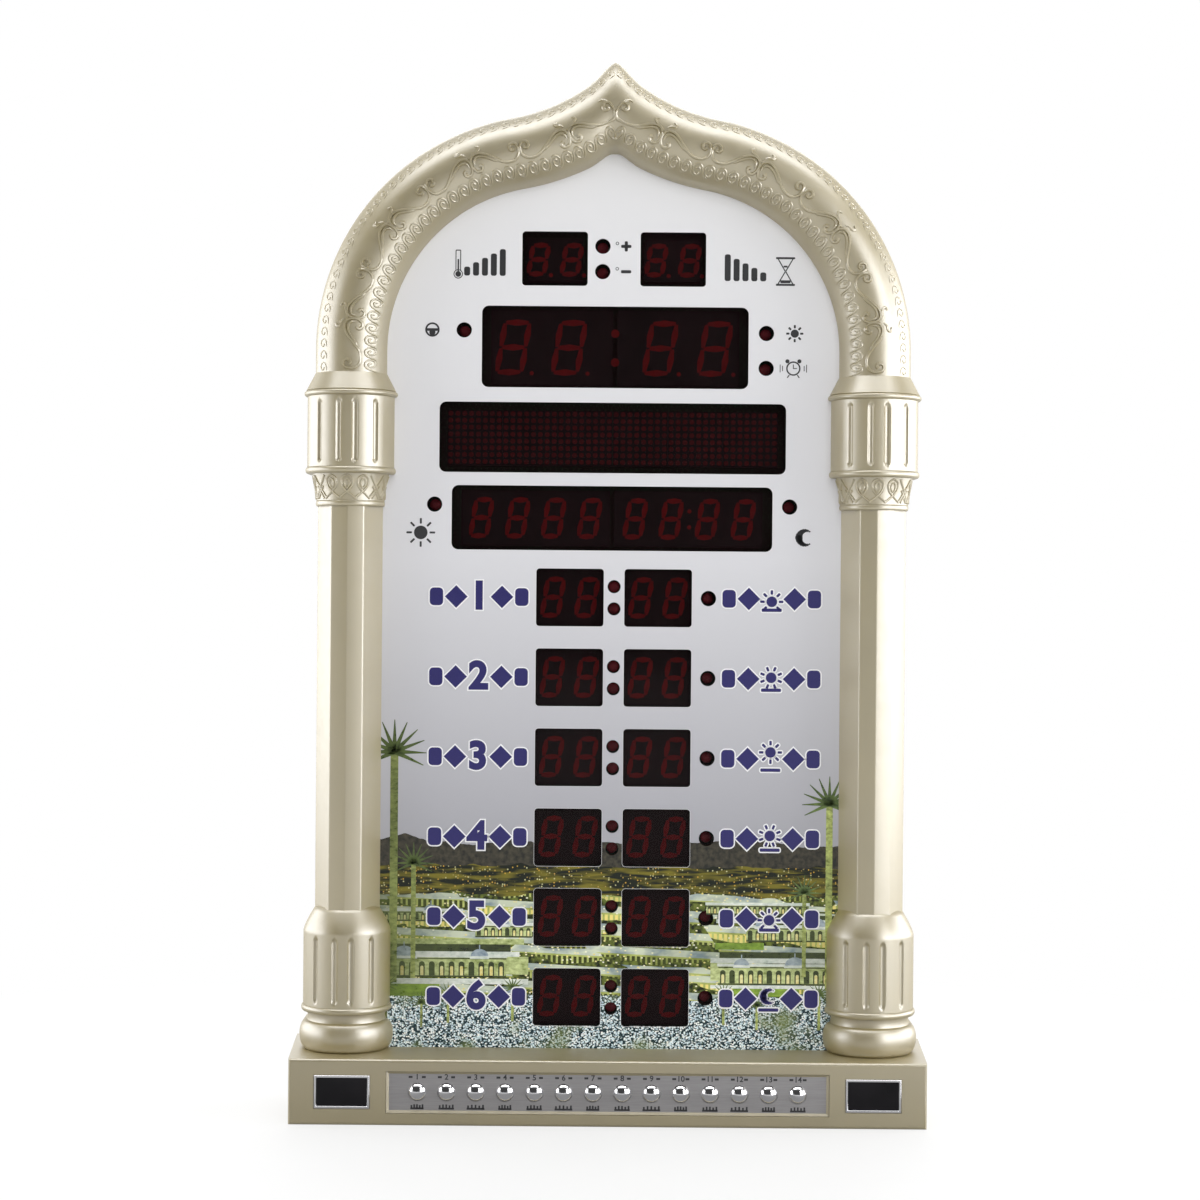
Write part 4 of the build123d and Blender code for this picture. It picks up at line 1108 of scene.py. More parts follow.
class AZAN_OT_columns(Operator):
    """Two faceted columns with fluted, turned feet and capitals"""

    bl_idname = "azan.columns"
    bl_label = "Columns"

    def execute(self, context):
        clock = context.scene.azan_clock
        self.sizes, self.arch = clock.column, clock.arch
        self.levels = z = ColumnHeights(self.sizes, BASE_HIGH.z, self.arch.foot_z)
        for name, side in (("column_left", -1), ("column_right", 1)):
            bm = bmesh.new()
            self.turned_part(bm, *self.foot_profile(), (z.ring, z.drum))
            self.turned_part(bm, *self.head_profile(), (z.high_drum, z.high_drum_top))
            self.shaft(bm)
            if side < 0:
                bmesh.ops.scale(bm, vec=(-1.0, 1.0, 1.0), verts=bm.verts)
                bmesh.ops.reverse_faces(bm, faces=bm.faces[:])
            cast_piece(bm, name, smooth=40, turn_out=False)
        return {"FINISHED"}

    def rounded(self, low, high, inset, radius):
        """A ring between two levels, out to a radius from a little inside or outside the drum."""
        start = self.sizes.drum_radius + inset
        return bulge(start, low, high, radius - start)

    def foot_profile(self):
        """Points below the drum and above it."""
        s, z = self.sizes, self.levels
        roll = bulge(s.scotia_radius, z.foot, z.torus, s.torus_radius - s.scotia_radius, 12)
        cove = [(s.scotia_radius - 0.45 * MM, (z.torus + z.scotia) / 2), (s.scotia_radius, z.scotia)]
        slope = []
        for i in range(1, 11):
            share = i / 10
            ease = share ** 1.35 * 0.86 + 0.14 * share
            slope.append((s.drum_radius + (s.shaft_radius - s.drum_radius) * ease,
                          z.drum + (z.shoulder - z.drum) * share))
        lip = [(s.shaft_radius - 1.9 * MM, z.shoulder + 0.9 * MM)]
        return roll + cove + self.rounded(z.scotia, z.ring, -0.3 * MM, s.ring_radius), slope + lip

    def head_profile(self):
        """Points below the upper drum and above it."""
        s, z = self.sizes, self.levels
        collar = bulge(s.neck_radius - 0.3 * MM, z.shaft_top, z.neck, 0.5 * MM)
        neck = [(neck_radius_at(s, i / 8), z.neck + s.necking_height * i / 8) for i in range(9)]
        ring = self.rounded(z.necking, z.high_drum, -0.3 * MM, s.ring_radius)
        flange = self.rounded(z.high_drum_top, z.flange, 0.2 * MM, s.torus_radius)
        top = [(s.torus_radius - 0.9 * MM, z.flange + 0.3 * MM),
               (self.arch.half_width + 0.1 * MM, z.cap_top),
               (self.arch.half_width - 2.0 * MM, z.cap_top + 0.25 * MM)]
        return collar + neck + ring, flange + top

    def turned_part(self, bm, below, above, drum_span):
        """Front half of a turned moulding, its outer side carried back, with flutes on its drum."""
        x = self.arch.column_x
        low, high = drum_span
        drum = [(self.sizes.drum_radius, low + (high - low) * i / DRUM_ROWS) for i in range(DRUM_ROWS + 1)]
        part = bmesh.new()
        verts, edges = chain(part, [(x + r, 0.0, z) for r, z in below + drum + above])
        geom = verts + edges
        for degrees_, steps in TURNS:
            geom = swept(part, geom, (x, 0.0, 0.0), (0.0, 0.0, 1.0), -radians(degrees_), steps)
        drawn_out(part, edges, (0.0, self.arch.skirt, 0.0))
        bmesh.ops.remove_doubles(part, verts=part.verts, dist=WELD)
        self.cut_flutes(part, drum_span)
        walled(part, self.arch.wall * COLUMN_WALL)
        bm.from_mesh(mesh_of(part))

    def cut_flutes(self, part, span):
        """Presses round-ended flutes into the drum."""
        s, x = self.sizes, self.arch.column_x
        half = s.flute_width / 2
        low, high = span[0] + s.flute_margin + half, span[1] - s.flute_margin - half
        angles = [side * a for a in (s.flute_inner, s.flute_outer) for side in SIDES]
        for v in part.verts:
            out = Vector((v.co.x - x, v.co.y, 0.0))
            if v.co.y > 0 or not span[0] < v.co.z < span[1] or out.length < s.drum_radius - 0.1 * MM:
                continue
            turn = atan2(out.x, -out.y)
            rise = max(low - v.co.z, 0.0, v.co.z - high)
            for a in angles:
                away = sqrt((s.drum_radius * (turn - a)) ** 2 + rise ** 2)
                if away < half:
                    v.co -= out.normalized() * s.flute_depth * (1 - (away / half) ** 2) ** 0.6
                    break

    def shaft(self, bm):
        """Faceted shaft between the foot's slope and the neck."""
        s, x = self.sizes, self.arch.column_x
        part = bmesh.new()
        corners = [(s.shaft_radius, self.arch.skirt), (s.shaft_radius, 0.0), (s.shoulder_x, -s.shoulder_y),
                   (0.0, -s.shaft_radius), (-s.shoulder_x, -s.shoulder_y), (-s.shaft_radius, 0.0)]
        low = self.levels.shoulder - 1.5 * MM
        high = self.levels.shaft_top + 1 * MM
        _, edges = chain(part, [(x + a, b, low) for a, b in corners])
        drawn_out(part, edges, (0.0, 0.0, high - low))
        soften(part, [e for e in part.edges if abs(e.verts[0].co.z - e.verts[1].co.z) > 1 * MM
                      and len(e.link_faces) == 2], s.facet_bevel, 3)
        walled(part, self.arch.wall * COLUMN_WALL)
        bm.from_mesh(mesh_of(part))


# One side of a loop of the necking's lattice, and of a crossing, as shares of its pitch and height.
LOOP_SIDE = [(-0.52, 0.02), (-0.3, 0.14), (-0.05, 0.27), (0.2, 0.42), (0.34, 0.64), (0.27, 0.86),
             (0.0, 0.98)]
CROSS_BAR = [(-0.56, 0.02), (-0.28, 0.24), (0.0, 0.48), (0.3, 0.74), (0.52, 0.96)]
SMALL_CROSS_BAR = [(-0.3, 0.02), (-0.02, 0.26), (0.3, 0.52)]
DROP = [(0.0, 0.42), (0.13, 0.55), (0.14, 0.7), (0.0, 0.82), (-0.14, 0.7), (-0.13, 0.55), (0.0, 0.42)]


class AZAN_OT_necking_lattice(Operator):
    """Interlaced loops in relief round each capital's neck"""

    bl_idname = "azan.necking_lattice"
    bl_label = "Necking lattice"

    def execute(self, context):
        clock = context.scene.azan_clock
        sizes, arch = clock.column, clock.arch
        levels = ColumnHeights(sizes, BASE_HIGH.z, arch.foot_z)
        width = pi / sizes.lattice_loops * sizes.neck_radius
        margin = 0.6 * MM         # plain neck above and below the lattice
        height = sizes.necking_height - 2 * margin
        loop = self.both_ways([LOOP_SIDE], width, height, sizes.lattice_line, DROP)
        cross = self.both_ways([CROSS_BAR, SMALL_CROSS_BAR], width, height, sizes.lattice_line)
        middle_loop = sizes.lattice_loops // 2
        for name, side in (("necking_lattice_left", -1), ("necking_lattice_right", 1)):
            bm = bmesh.new()
            for i in range(sizes.lattice_loops):
                x = (i + 0.5 - sizes.lattice_loops / 2) * width
                unit = loop if abs(i - middle_loop) <= 1 else cross
                stamp(bm, unit, x, margin, 0.0)
            for v in bm.verts:
                turn = v.co.x / sizes.neck_radius
                share = max(0.0, min(1.0, v.co.y / sizes.necking_height))
                high = neck_radius_at(sizes, share) + v.co.z
                v.co = Vector((side * arch.column_x + high * sin(turn), -high * cos(turn),
                               levels.neck + v.co.y))
            cast_piece(bm, name, smooth=60)
        return {"FINISHED"}

    def both_ways(self, sides, width, height, line, inner=None):
        """Strokes and their mirror images, with an inner drop where there is one."""
        strokes = []
        for side in sides:
            points = scaled(side, width, height)
            strokes += [(points, 1.0, 1.0), ([(-x, y) for x, y in points], 1.0, 1.0)]
        if inner:
            strokes.append((scaled(inner, width, height), 0.8, 0.8))
        return drawn(strokes, line)


# ---- Base and control strip ----

class AZAN_OT_base(Operator):
    """Champagne base with soft front edges"""

    bl_idname = "azan.base"
    bl_label = "Base"

    def execute(self, context):
        shell = smoothed_copy("base_housing", "base_shell", champagne_paint(),
                              smooth=50)
        soft = shell.modifiers.new("Soft edges", "BEVEL")
        soft.limit_method = "ANGLE"
        soft.angle_limit = radians(50)
        soft.width = 0.6 * MM
        soft.segments = 2
        shell.modifiers.move(1, 0)
        return {"FINISHED"}


class AZAN_OT_control_plate(Operator):
    """Silver plate with figures over the buttons and ticks under them"""

    bl_idname = "azan.control_plate"
    bl_label = "Control plate"

    def execute(self, context):
        sizes = context.scene.azan_clock.strip
        dress("control_plate", silver_plate())
        self.bm = bmesh.new()
        rise = (PLATE_HIGH.z - STRIP_Z) * 0.72     # the marks' height over and under the buttons
        beside = 2.9 * MM                          # from a figure's middle to the ticks beside it
        for i in range(BUTTONS):
            x = centre_of(f"button_{i + 1}").x
            figure = lettering(str(i + 1), sizes.mark_height, 2 * SKIN, grow=0.06 * MM)
            stamp(self.bm, figure, x, PLATE_LOW.y, STRIP_Z + rise)
            for side in SIDES:
                self.tick(x + side * beside, rise, 1.7 * MM, 0.9 * MM)
            reach = beside + 0.5 * (i % 3) * MM
            self.tick(x, -rise - 0.6 * MM, 2 * reach, 0.8 * MM)
            for k in range(-2, 3):
                high = (1.5 + 0.7 * ((3 * i + k) % 3 != 1)) * MM
                self.tick(x + k * reach * 0.42, -rise + 0.1 * MM, 0.75 * MM, high)
        finished(self.bm, "plate_marks", ink("dark"))
        self.lip(sizes, PLATE_HIGH.x - PLATE_LOW.x, PLATE_HIGH.z - PLATE_LOW.z)
        return {"FINISHED"}

    def tick(self, x, z, width, height):
        """A printed bar, its height on the plate counted from the strip's middle."""
        bar = slab(lambda part: flat_plate(part, width, height), -SKIN, SKIN)
        stamp(self.bm, bar, x, PLATE_LOW.y, STRIP_Z + z)

    def lip(self, sizes, width, height):
        """A frame round the plate that slopes down to it."""
        bm = bmesh.new()
        thicken(bm, flat_frame(bm, width, height, sizes.lip_width), PLATE_LOW.y - sizes.lip_rise,
                PLATE_LOW.y)
        for v in bm.verts:
            if abs(v.co.x) < width / 2 - WELD and abs(v.co.z) < height / 2 - WELD:
                v.co.y = max(v.co.y, PLATE_LOW.y - SKIN)
        bmesh.ops.translate(bm, vec=(middle(PLATE_LOW.x, PLATE_HIGH.x), 0.0, STRIP_Z), verts=bm.verts)
        finished(bm, "plate_lip", champagne_paint())


class AZAN_OT_buttons(Operator):
    """Fourteen domed chrome buttons with their flanges, stems and plungers"""

    bl_idname = "azan.buttons"
    bl_label = "Buttons"

    def execute(self, context):
        s = context.scene.azan_clock.strip
        ball = (s.button_radius ** 2 + s.button_dome ** 2) / (2 * s.button_dome)
        sweep = asin(s.button_radius / ball)
        flange_front = PLATE_HIGH.y + 0.3 * MM
        flange_back = flange_front + 0.8 * MM
        stem_back = flange_back + 2.5 * MM
        rows = 9                  # of faces up the dome
        for i in range(BUTTONS):
            node = f"button_{i + 1}"
            tip, end = (corner.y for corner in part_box(node))
            x, z = centre_of(node).x, centre_of(node).z
            turns = [sweep * k / rows for k in range(rows + 1)]
            dome = [(ball * sin(turn), tip + ball * (1 - cos(turn))) for turn in turns]
            profile = dome + [(s.button_radius, dome[-1][1] + 0.12 * MM), (s.button_radius, flange_front),
                              (s.flange_radius, flange_front), (s.flange_radius, flange_back),
                              (s.stem_radius, flange_back), (s.stem_radius, stem_back),
                              (s.plunger_radius, stem_back), (s.plunger_radius, end), (0.0, end)]
            bm = bmesh.new()
            verts, edges = chain(bm, [(x + r, y, z) for r, y in profile])
            bmesh.ops.spin(bm, geom=verts + edges, cent=(x, 0.0, z), axis=(0.0, 1.0, 0.0), angle=2 * pi,
                           steps=40, use_merge=True, use_duplicate=False)
            finished(bm, f"chrome_button_{i + 1}", bright_chrome(), body=node,
                     stands_for=[node], smooth=32)
        return {"FINISHED"}


class AZAN_OT_sensor_windows(Operator):
    """Rounded bright bezels and polished dark lenses at the strip's ends"""

    bl_idname = "azan.sensor_windows"
    bl_label = "Sensor windows"

    def execute(self, context):
        line = context.scene.azan_clock.strip.bezel_width
        lens_low, lens_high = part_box("sensor_lenses")
        width, height = self.window_width(), BEZEL_HIGH.z - BEZEL_LOW.z
        inner = 2 * (line + 0.05 * MM)
        bezel = self.eased(lambda bm: flat_frame(bm, width, height, line),
                           BEZEL_LOW.y, BEZEL_HIGH.y, ease=0.38 * MM, steps=4)
        lens = self.eased(lambda bm: flat_plate(bm, width - inner, height - inner, 0.3 * MM),
                          lens_low.y, lens_high.y, ease=0.3 * MM, steps=3)
        bezels, lenses = bmesh.new(), bmesh.new()
        for side in SIDES:
            x = side * (BEZEL_HIGH.x - width / 2)
            stamp(bezels, bezel, x, 0.0, STRIP_Z)
            stamp(lenses, lens, x, 0.0, STRIP_Z)
        finished(bezels, "window_bezels", bright_chrome(),
                 stands_for=["sensor_bezels"], smooth=35, weighted=True)
        finished(lenses, "window_lenses", black_lens(), stands_for=["sensor_lenses"],
                 smooth=35, weighted=True)
        return {"FINISHED"}

    def eased(self, faces_of, front, back, ease, steps):
        """A slab with rounded front edges."""
        bm = bmesh.new()
        thicken(bm, faces_of(bm), front, back)
        bmesh.ops.recalc_face_normals(bm, faces=bm.faces)
        soften(bm, [e for e in bm.edges if all(v.co.y < front + WELD for v in e.verts)
                    and e.calc_face_angle(0.0) > radians(60)], ease, steps)
        return mesh_of(bm)

    def window_width(self):
        """Width of one of the two bezels, from the gap between them."""
        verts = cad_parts["sensor_bezels"].data.vertices
        inner = min(v.co.x for v in verts if v.co.x > 0)
        return BEZEL_HIGH.x - inner


# ---- Printed face ----

# Windows of the face in millimetres: width, height and corner.
WINDOWS = {"temperature": (29.5, 24.4, 1.5), "countdown": (29.5, 24.4, 1.5), "clock": (120.0, 36.7, 3.0),
           "matrix": (156.0, 31.7, 3.0)}
DATE_WINDOW = (144.4, 29.0, 3.0)
ROW_WINDOW = (30.4, 26.0, 1.5)


def window_places():
    """Middle and size of every display window of the face."""
    places = [(centre_of(f"{name}_display"), size) for name, size in WINDOWS.items()]
    date = middle(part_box("left_date_display")[0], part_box("right_date_display")[1])
    places.append((date, DATE_WINDOW))
    for row in range(ROWS):
        places += [(row_centre(row) + Vector((side * ROW_MODULE_X, 0.0, 0.0)), ROW_WINDOW)
                   for side in SIDES]
    return places


class AZAN_OT_printed_face(Operator):
    """Printed sheet with a light line round every window"""

    bl_idname = "azan.printed_face"
    bl_label = "Printed face"

    def execute(self, context):
        line = context.scene.azan_clock.face.outline
        dress("face_panel", printed_sheet())
        bm = bmesh.new()
        for centre, size in window_places():
            width, height, corner = (v * MM for v in size)
            ring = slab(lambda part: flat_frame(part, width + 2 * line, height + 2 * line, line * 0.96,
                                                corner + line), -SKIN, SKIN)
            stamp(bm, ring, centre.x, 0.0, centre.z)
        finished(bm, "window_outlines", ink("white"))
        return {"FINISHED"}


def arch_shape(bm, width, height):
    """An upright opening with a round head, its foot at the origin."""
    made = flat_square(bm, width, height)
    bmesh.ops.translate(bm, vec=(0.0, 0.0, height / 2), verts=made)
    soften(bm, [v for v in made if v.co.z > height / 2], width * 0.49, 4, "VERTICES")
    return bm.faces[:]


def dome_shape(bm, width, height):
    """A half round on the origin."""
    flat_disc(bm, width / 2, 24)
    bmesh.ops.scale(bm, vec=(1.0, 1.0, 2 * height / width), verts=bm.verts)
    bmesh.ops.bisect_plane(bm, geom=everything(bm), plane_co=(0.0, 0.0, 0.0), plane_no=(0.0, 0.0, 1.0),
                           clear_inner=True, dist=WELD)
    return bm.faces[:]


def leaf_shape(bm, length_, lean):
    """A narrow leaf from the origin upwards, leaning to one side."""
    flat_plate(bm, length_ * 0.17, length_)
    for v in bm.verts:
        if v.co.z > 0:
            v.co.x *= 0.15
    bmesh.ops.translate(bm, vec=(0.0, 0.0, length_ / 2), verts=bm.verts)
    bmesh.ops.rotate(bm, matrix=Matrix.Rotation(radians(lean), 3, "Y"), verts=bm.verts)
    return bm.faces[:]


# The printed town in millimetres. Arcades: left, right, foot, height and pitch of the arches.
ARCADES = [(-104.0, -66.0, 86.0, 4.2, 2.6), (44.0, 90.0, 90.0, 4.0, 2.5), (-60.0, -34.5, 79.0, 5.0, 3.0),
           (62.0, 104.0, 78.0, 6.0, 3.4), (-104.0, -46.0, 61.0, 8.5, 4.2), (49.5, 104.0, 58.5, 8.0, 4.0)]
# Terraces, lawns and shadows: left, right, foot and top.
TERRACES = [("stone", -104.0, -40.0, 70.0, 72.2), ("shade", -104.0, -44.0, 72.2, 75.5),
            ("wall", -96.0, -38.0, 75.5, 78.0), ("lawn", -104.0, -76.0, 52.0, 57.5),
            ("stone", -104.0, -36.0, 57.5, 60.0), ("shade", -74.0, -36.0, 50.5, 53.0),
            ("wall", -60.0, -36.0, 62.0, 70.0), ("lawn", 56.0, 86.0, 53.0, 56.5),
            ("stone", 46.0, 104.0, 56.5, 58.0), ("stone", 46.0, 104.0, 68.0, 70.2),
            ("shade", 50.0, 104.0, 70.2, 73.0), ("wall", 46.0, 60.0, 60.0, 68.0),
            ("lawn", 48.0, 70.0, 74.0, 77.0), ("stone", 48.5, 104.0, 86.0, 87.6),
            ("shade", 49.0, 104.0, 87.6, 89.6)]
# Domes: middle, foot and width.
DOMES = [(-92.0, 70.0, 11.0), (-58.0, 70.0, 8.0), (-80.0, 90.5, 6.5), (70.0, 84.5, 8.0),
         (93.0, 84.5, 10.0), (60.0, 67.0, 7.0), (84.0, 67.0, 9.0), (-47.0, 84.5, 5.0)]
# Palms: middle, foot and height.
PALMS = [(-97.0, 58.0, 104.0), (99.0, 56.0, 84.0), (-88.0, 60.0, 52.0), (88.0, 62.0, 38.0),
         (-72.0, 40.0, 13.0), (-43.0, 41.0, 15.0), (52.0, 40.0, 14.0), (67.0, 38.0, 11.0),
         (95.0, 38.0, 16.0), (-100.0, 42.0, 15.0), (-84.0, 38.0, 11.0)]


class AZAN_OT_printed_town(Operator):
    """Generic night town printed along the sheet's foot: arcades, low domes and palms"""

    bl_idname = "azan.printed_town"
    bl_label = "Printed town"

    def execute(self, context):
        self.layers = {kind: bmesh.new() for kind in TOWN_TONES}
        for sizes in ARCADES:
            self.arcade(*sizes)
        for kind, left, right, low, high in TERRACES:
            self.plate(kind, middle(left, right), middle(low, high), right - left, high - low, 0.6)
        for sizes in DOMES:
            self.dome(*sizes)
        for sizes in PALMS:
            self.palm(*sizes)
        for kind, bm in self.layers.items():
            finished(bm, f"town_{kind}", town_paint(kind))
        return {"FINISHED"}

    def add(self, kind, faces_of, x, z, level):
        """Prints a shape on the sheet; a higher level stands a little further out."""
        stamp(self.layers[kind], slab(faces_of, -SKIN * 0.2, SKIN), x * MM, -level * SKIN * 0.4, z * MM)

    def plate(self, kind, x, z, width, height, level):
        self.add(kind, lambda bm: flat_plate(bm, width * MM, height * MM), x, z, level)

    def arcade(self, left, right, foot, height, pitch):
        """A long wall of lit arches under a pale roof."""
        width = right - left
        centre = middle(left, right)
        self.plate("wall", centre, foot + height / 2, width, height, 1.0)
        self.plate("stone", centre, foot + height + 0.6, width + 1.0, 1.3, 1.5)
        self.plate("shade", centre, foot + height - 0.5, width, 0.5, 1.5)
        self.plate("shade", centre, foot, width, 0.7, 1.5)
        count = int(width / pitch)
        for i in range(count):
            x = left + (i + 0.5) * width / count
            for kind, share, high, level in (("shade", 0.62, 0.74, 2.0), ("glow", 0.34, 0.5, 2.5)):
                if kind == "glow" and (i * 7 + count) % 4 == 0:
                    continue
                self.add(kind, lambda bm: arch_shape(bm, pitch * share * MM, height * high * MM), x,
                         foot + 0.4, level)

    def dome(self, x, z, width):
        """A low dome on a pale ring, with a small finial."""
        height = width * 0.42
        self.add("dome", lambda bm: dome_shape(bm, width * MM, height * MM), x, z, 2.5)
        self.plate("stone", x, z - 0.5, width * 1.08, 1.2, 3.0)
        self.plate("dome", x, z + height + 0.7, 0.5, 2.2, 2.5)

    def palm(self, x, z, height):
        """A lit trunk under a crown of narrow leaves."""
        self.plate("trunk", x, z + height / 2, 0.8 + height * 0.026, height, 3.5)
        for k in range(11):
            self.add("leaf", lambda bm: leaf_shape(bm, (4.0 + height * 0.1) * MM, 23 * k - 115), x,
                     z + height, 4.0)


# How far the sun or moon of each row stands over its label's middle, in millimetres.
SKY_LIFTS = (-1.2, 0.6, 3.0, 1.4, -0.6, 2.4)


def moon_discs(reach, degrees_, count, thickest, taper):
    """Place and radius of each disc of a crescent: an arc of discs that grow towards its middle."""
    for k in range(-count, count + 1):
        turn = radians(180 + k * degrees_)
        yield reach * cos(turn), reach * sin(turn), thickest - taper * abs(k)


class AZAN_OT_labels(Operator):
    """Row numerals on the left, sky marks on the right and small marks beside the lamps"""

    bl_idname = "azan.labels"
    bl_label = "Labels"

    def execute(self, context):
        self.sizes = context.scene.azan_clock.face
        edges, marks, self.small = bmesh.new(), bmesh.new(), bmesh.new()
        self.layers = ((edges, self.sizes.label_edge, -4 * SKIN), (marks, 0.0, -5 * SKIN))
        for row in range(ROWS):
            z = row_centre(row).z
            self.numeral(str(row + 1), self.sizes.left_label_x, z)
            self.sky_mark(row, self.sizes.right_label_x, z)
        self.beside_lamps()
        finished(edges, "label_edges", ink("white"))
        finished(marks, "row_labels", ink("label"))
        finished(self.small, "small_marks", ink("dark"))
        return {"FINISHED"}

    def lay(self, build, x, z, turn=0.0):
        """Adds a label shape with a light edge under it; build(part, grow) draws it."""
        for layer, grow, front in self.layers:
            stamp(layer, slab(lambda part: build(part, grow), front, SKIN), x, 0.0, z, turn)

    def bar(self, x, z, width, height, turn=0.0):
        self.lay(lambda part, grow: flat_plate(part, width + 2 * grow, height + 2 * grow,
                                               min(height, width) * 0.3 + grow), x, z, turn)

    def disc(self, x, z, radius):
        self.lay(lambda part, grow: flat_disc(part, radius + grow), x, z)

    def lozenge(self, x, z, size):
        self.lay(lambda part, grow: flat_plate(part, size + 2 * grow, size + 2 * grow), x, z, pi / 4)

    def numeral(self, text, x, z):
        bold = 0.75 * MM
        for layer, grow, front in self.layers:
            figure = lettering(text, self.sizes.label_height, SKIN - front, bold + grow)
            stamp(layer, figure, x, (front + SKIN) / 2, z)
        self.flourish(x, z)

    def flourish(self, x, z):
        """A lozenge and a thick bar on either side of a label."""
        s = self.sizes
        for side in SIDES:
            self.lozenge(x + side * s.lozenge_x, z, s.lozenge)
            self.bar(x + side * s.bar_x, z, s.bar_width, s.bar_height)

    def sky_mark(self, row, x, z):
        """Sun or moon over a level line, higher or lower through the day."""
        lift = SKY_LIFTS[row] * MM
        ray_place = 4.2 * MM
        if row == ROWS - 1:
            self.moon(x, z + lift * 0.2)
        else:
            self.disc(x, z + lift, 2.4 * MM)
            for k in range(8):
                turn = k * pi / 4 + pi / 8 * (row % 2)
                high = lift + ray_place * cos(turn)
                if high >= -ray_place:
                    self.bar(x + ray_place * sin(turn), z + high, 1.1 * MM, 2.0 * MM, turn)
        self.bar(x, z - 5.0 * MM, 9.0 * MM, 1.5 * MM)
        self.flourish(x, z)

    def moon(self, x, z):
        for across, up, radius in moon_discs(3.0, 20, 6, 1.55, 0.21):
            self.disc(x + (across + 0.6) * MM, z + (up + 0.6) * MM, radius * MM)

    def mark(self, draw, beside, across, up, *details):
        """Draws a small mark, its middle in millimetres from a place on the face."""
        self.spot = beside.x + across * MM, beside.z + up * MM
        draw(*details)

    def print_small(self, faces_of, across, up, turn=0.0):
        """Prints one shape of a small mark, in millimetres from the mark's middle."""
        x, z = self.spot
        stamp(self.small, slab(faces_of, -2 * SKIN, SKIN), x + across * MM, 0.0, z + up * MM, turn)

    def small_bar(self, across, up, width, height, turn=0.0):
        corner = min(width, height) * 0.3
        self.print_small(lambda part: flat_plate(part, width * MM, height * MM, corner * MM, 2), across,
                         up, turn)

    def small_ring(self, across, up, radius, line):
        def build(part):
            flat_disc(part, radius * MM)
            return rim_only(part, line * MM)
        self.print_small(build, across, up)

    def small_disc(self, across, up, radius):
        self.print_small(lambda part: flat_disc(part, radius * MM, 24), across, up)

    def beside_lamps(self):
        """The small marks that say what the lamps and displays are for."""
        temperature, countdown = centre_of("temperature_display"), centre_of("countdown_display")
        top, date, clock = (Vector((0.0, 0.0, centre_of(f"{name}_display").z))
                            for name in ("temperature", "left_date", "clock"))
        large, small = 9.0, self.sizes.small_mark / MM
        self.mark(self.thermometer, temperature, -43.5, -3.0)
        self.mark(self.level_bars, temperature, -31.5, -8.0, 1)
        self.mark(self.hourglass, countdown, 50.5, -5.0)
        self.mark(self.level_bars, countdown, 32.5, -9.5, -1)
        self.mark(self.minus_sign, top, 5.4, -5.7)
        self.mark(self.plus_sign, top, 5.4, 5.7)
        self.mark(self.sun, date, -86.0, -7.0, large)
        self.mark(self.small_moon, date, 86.5, -8.0, large)
        self.mark(self.half_day, clock, -81.5, 7.3, small)
        self.mark(self.sun, clock, 81.5, 6.8, small)
        self.mark(self.alarm, clock, 81.0, -8.9, small)

    def level_bars(self, way):
        """Five upright bars that rise one way, like a plain gauge."""
        for k in range(5):
            high = 4.0 + 2.0 * k
            self.small_bar(way * (k - 2) * 4.0, high / 2, 2.7, high)

    def minus_sign(self):
        """A minus after a small ring."""
        self.small_ring(-4.0, 1.3, 0.75, 0.28)
        self.small_bar(0.0, 0.0, 4.6, 1.4)

    def plus_sign(self):
        self.minus_sign()
        self.small_bar(0.0, 0.0, 1.4, 4.6)

    def small_moon(self, size):
        for across, up, radius in moon_discs(0.36, 17, 7, 0.19, 0.021):
            self.small_disc(size * (across + 0.1), size * up, size * radius)

    def thermometer(self):
        self.small_ring(0.0, -4.3, 2.1, 0.4)
        self.small_disc(0.0, -4.3, 1.3)
        for side in SIDES:
            self.small_bar(side * 1.05, 1.8, 0.4, 9.2)
        self.small_bar(0.0, 6.4, 2.2, 0.45)
        self.small_bar(0.0, -0.6, 0.7, 6.0)

    def hourglass(self):
        for side in SIDES:
            self.small_bar(0.0, side * 6.0, 8.6, 0.9)
            for lean in SIDES:
                self.small_bar(lean * 1.75, side * 2.9, 0.5, 6.6, side * lean * radians(30))
        self.small_bar(0.0, -4.6, 4.6, 1.3)
        self.small_bar(0.0, 2.2, 1.8, 0.8)

    def half_day(self, size):
        """A ring cut in two, its lower half filled."""
        self.small_ring(0.0, 0.0, size * 0.6, 0.8)
        self.small_bar(0.0, 0.0, size * 1.1, 1.2)
        self.small_disc(0.0, -size * 0.22, size * 0.26)

    def sun(self, size):
        self.small_disc(0.0, 0.0, size * 0.34)
        for k in range(8):
            turn, away = k * pi / 4, size * 0.58
            self.small_bar(away * sin(turn), away * cos(turn), 0.9, size * 0.28, turn)

    def alarm(self, size):
        """An alarm clock between two ringing lines a side."""
        self.small_ring(0.0, 0.0, size * 0.6, 0.65)
        self.small_bar(0.0, size * 0.16, 0.4, size * 0.36)
        self.small_bar(size * 0.14, 0.0, size * 0.32, 0.4)
        for side in SIDES:
            self.small_disc(side * size * 0.5, size * 0.6, size * 0.17)
            self.small_bar(side * size * 0.42, -size * 0.66, 0.5, size * 0.3, side * radians(-35))
            for k in (1, 2):
                self.small_bar(side * size * (0.7 + 0.2 * k), 0.0, 0.35, size * (0.25 + 0.2 * k))


# ---- Displays ----

SEGMENT_DEPTH = (-0.12 * MM, 0.05 * MM)    # front and back of a segment from its block's face


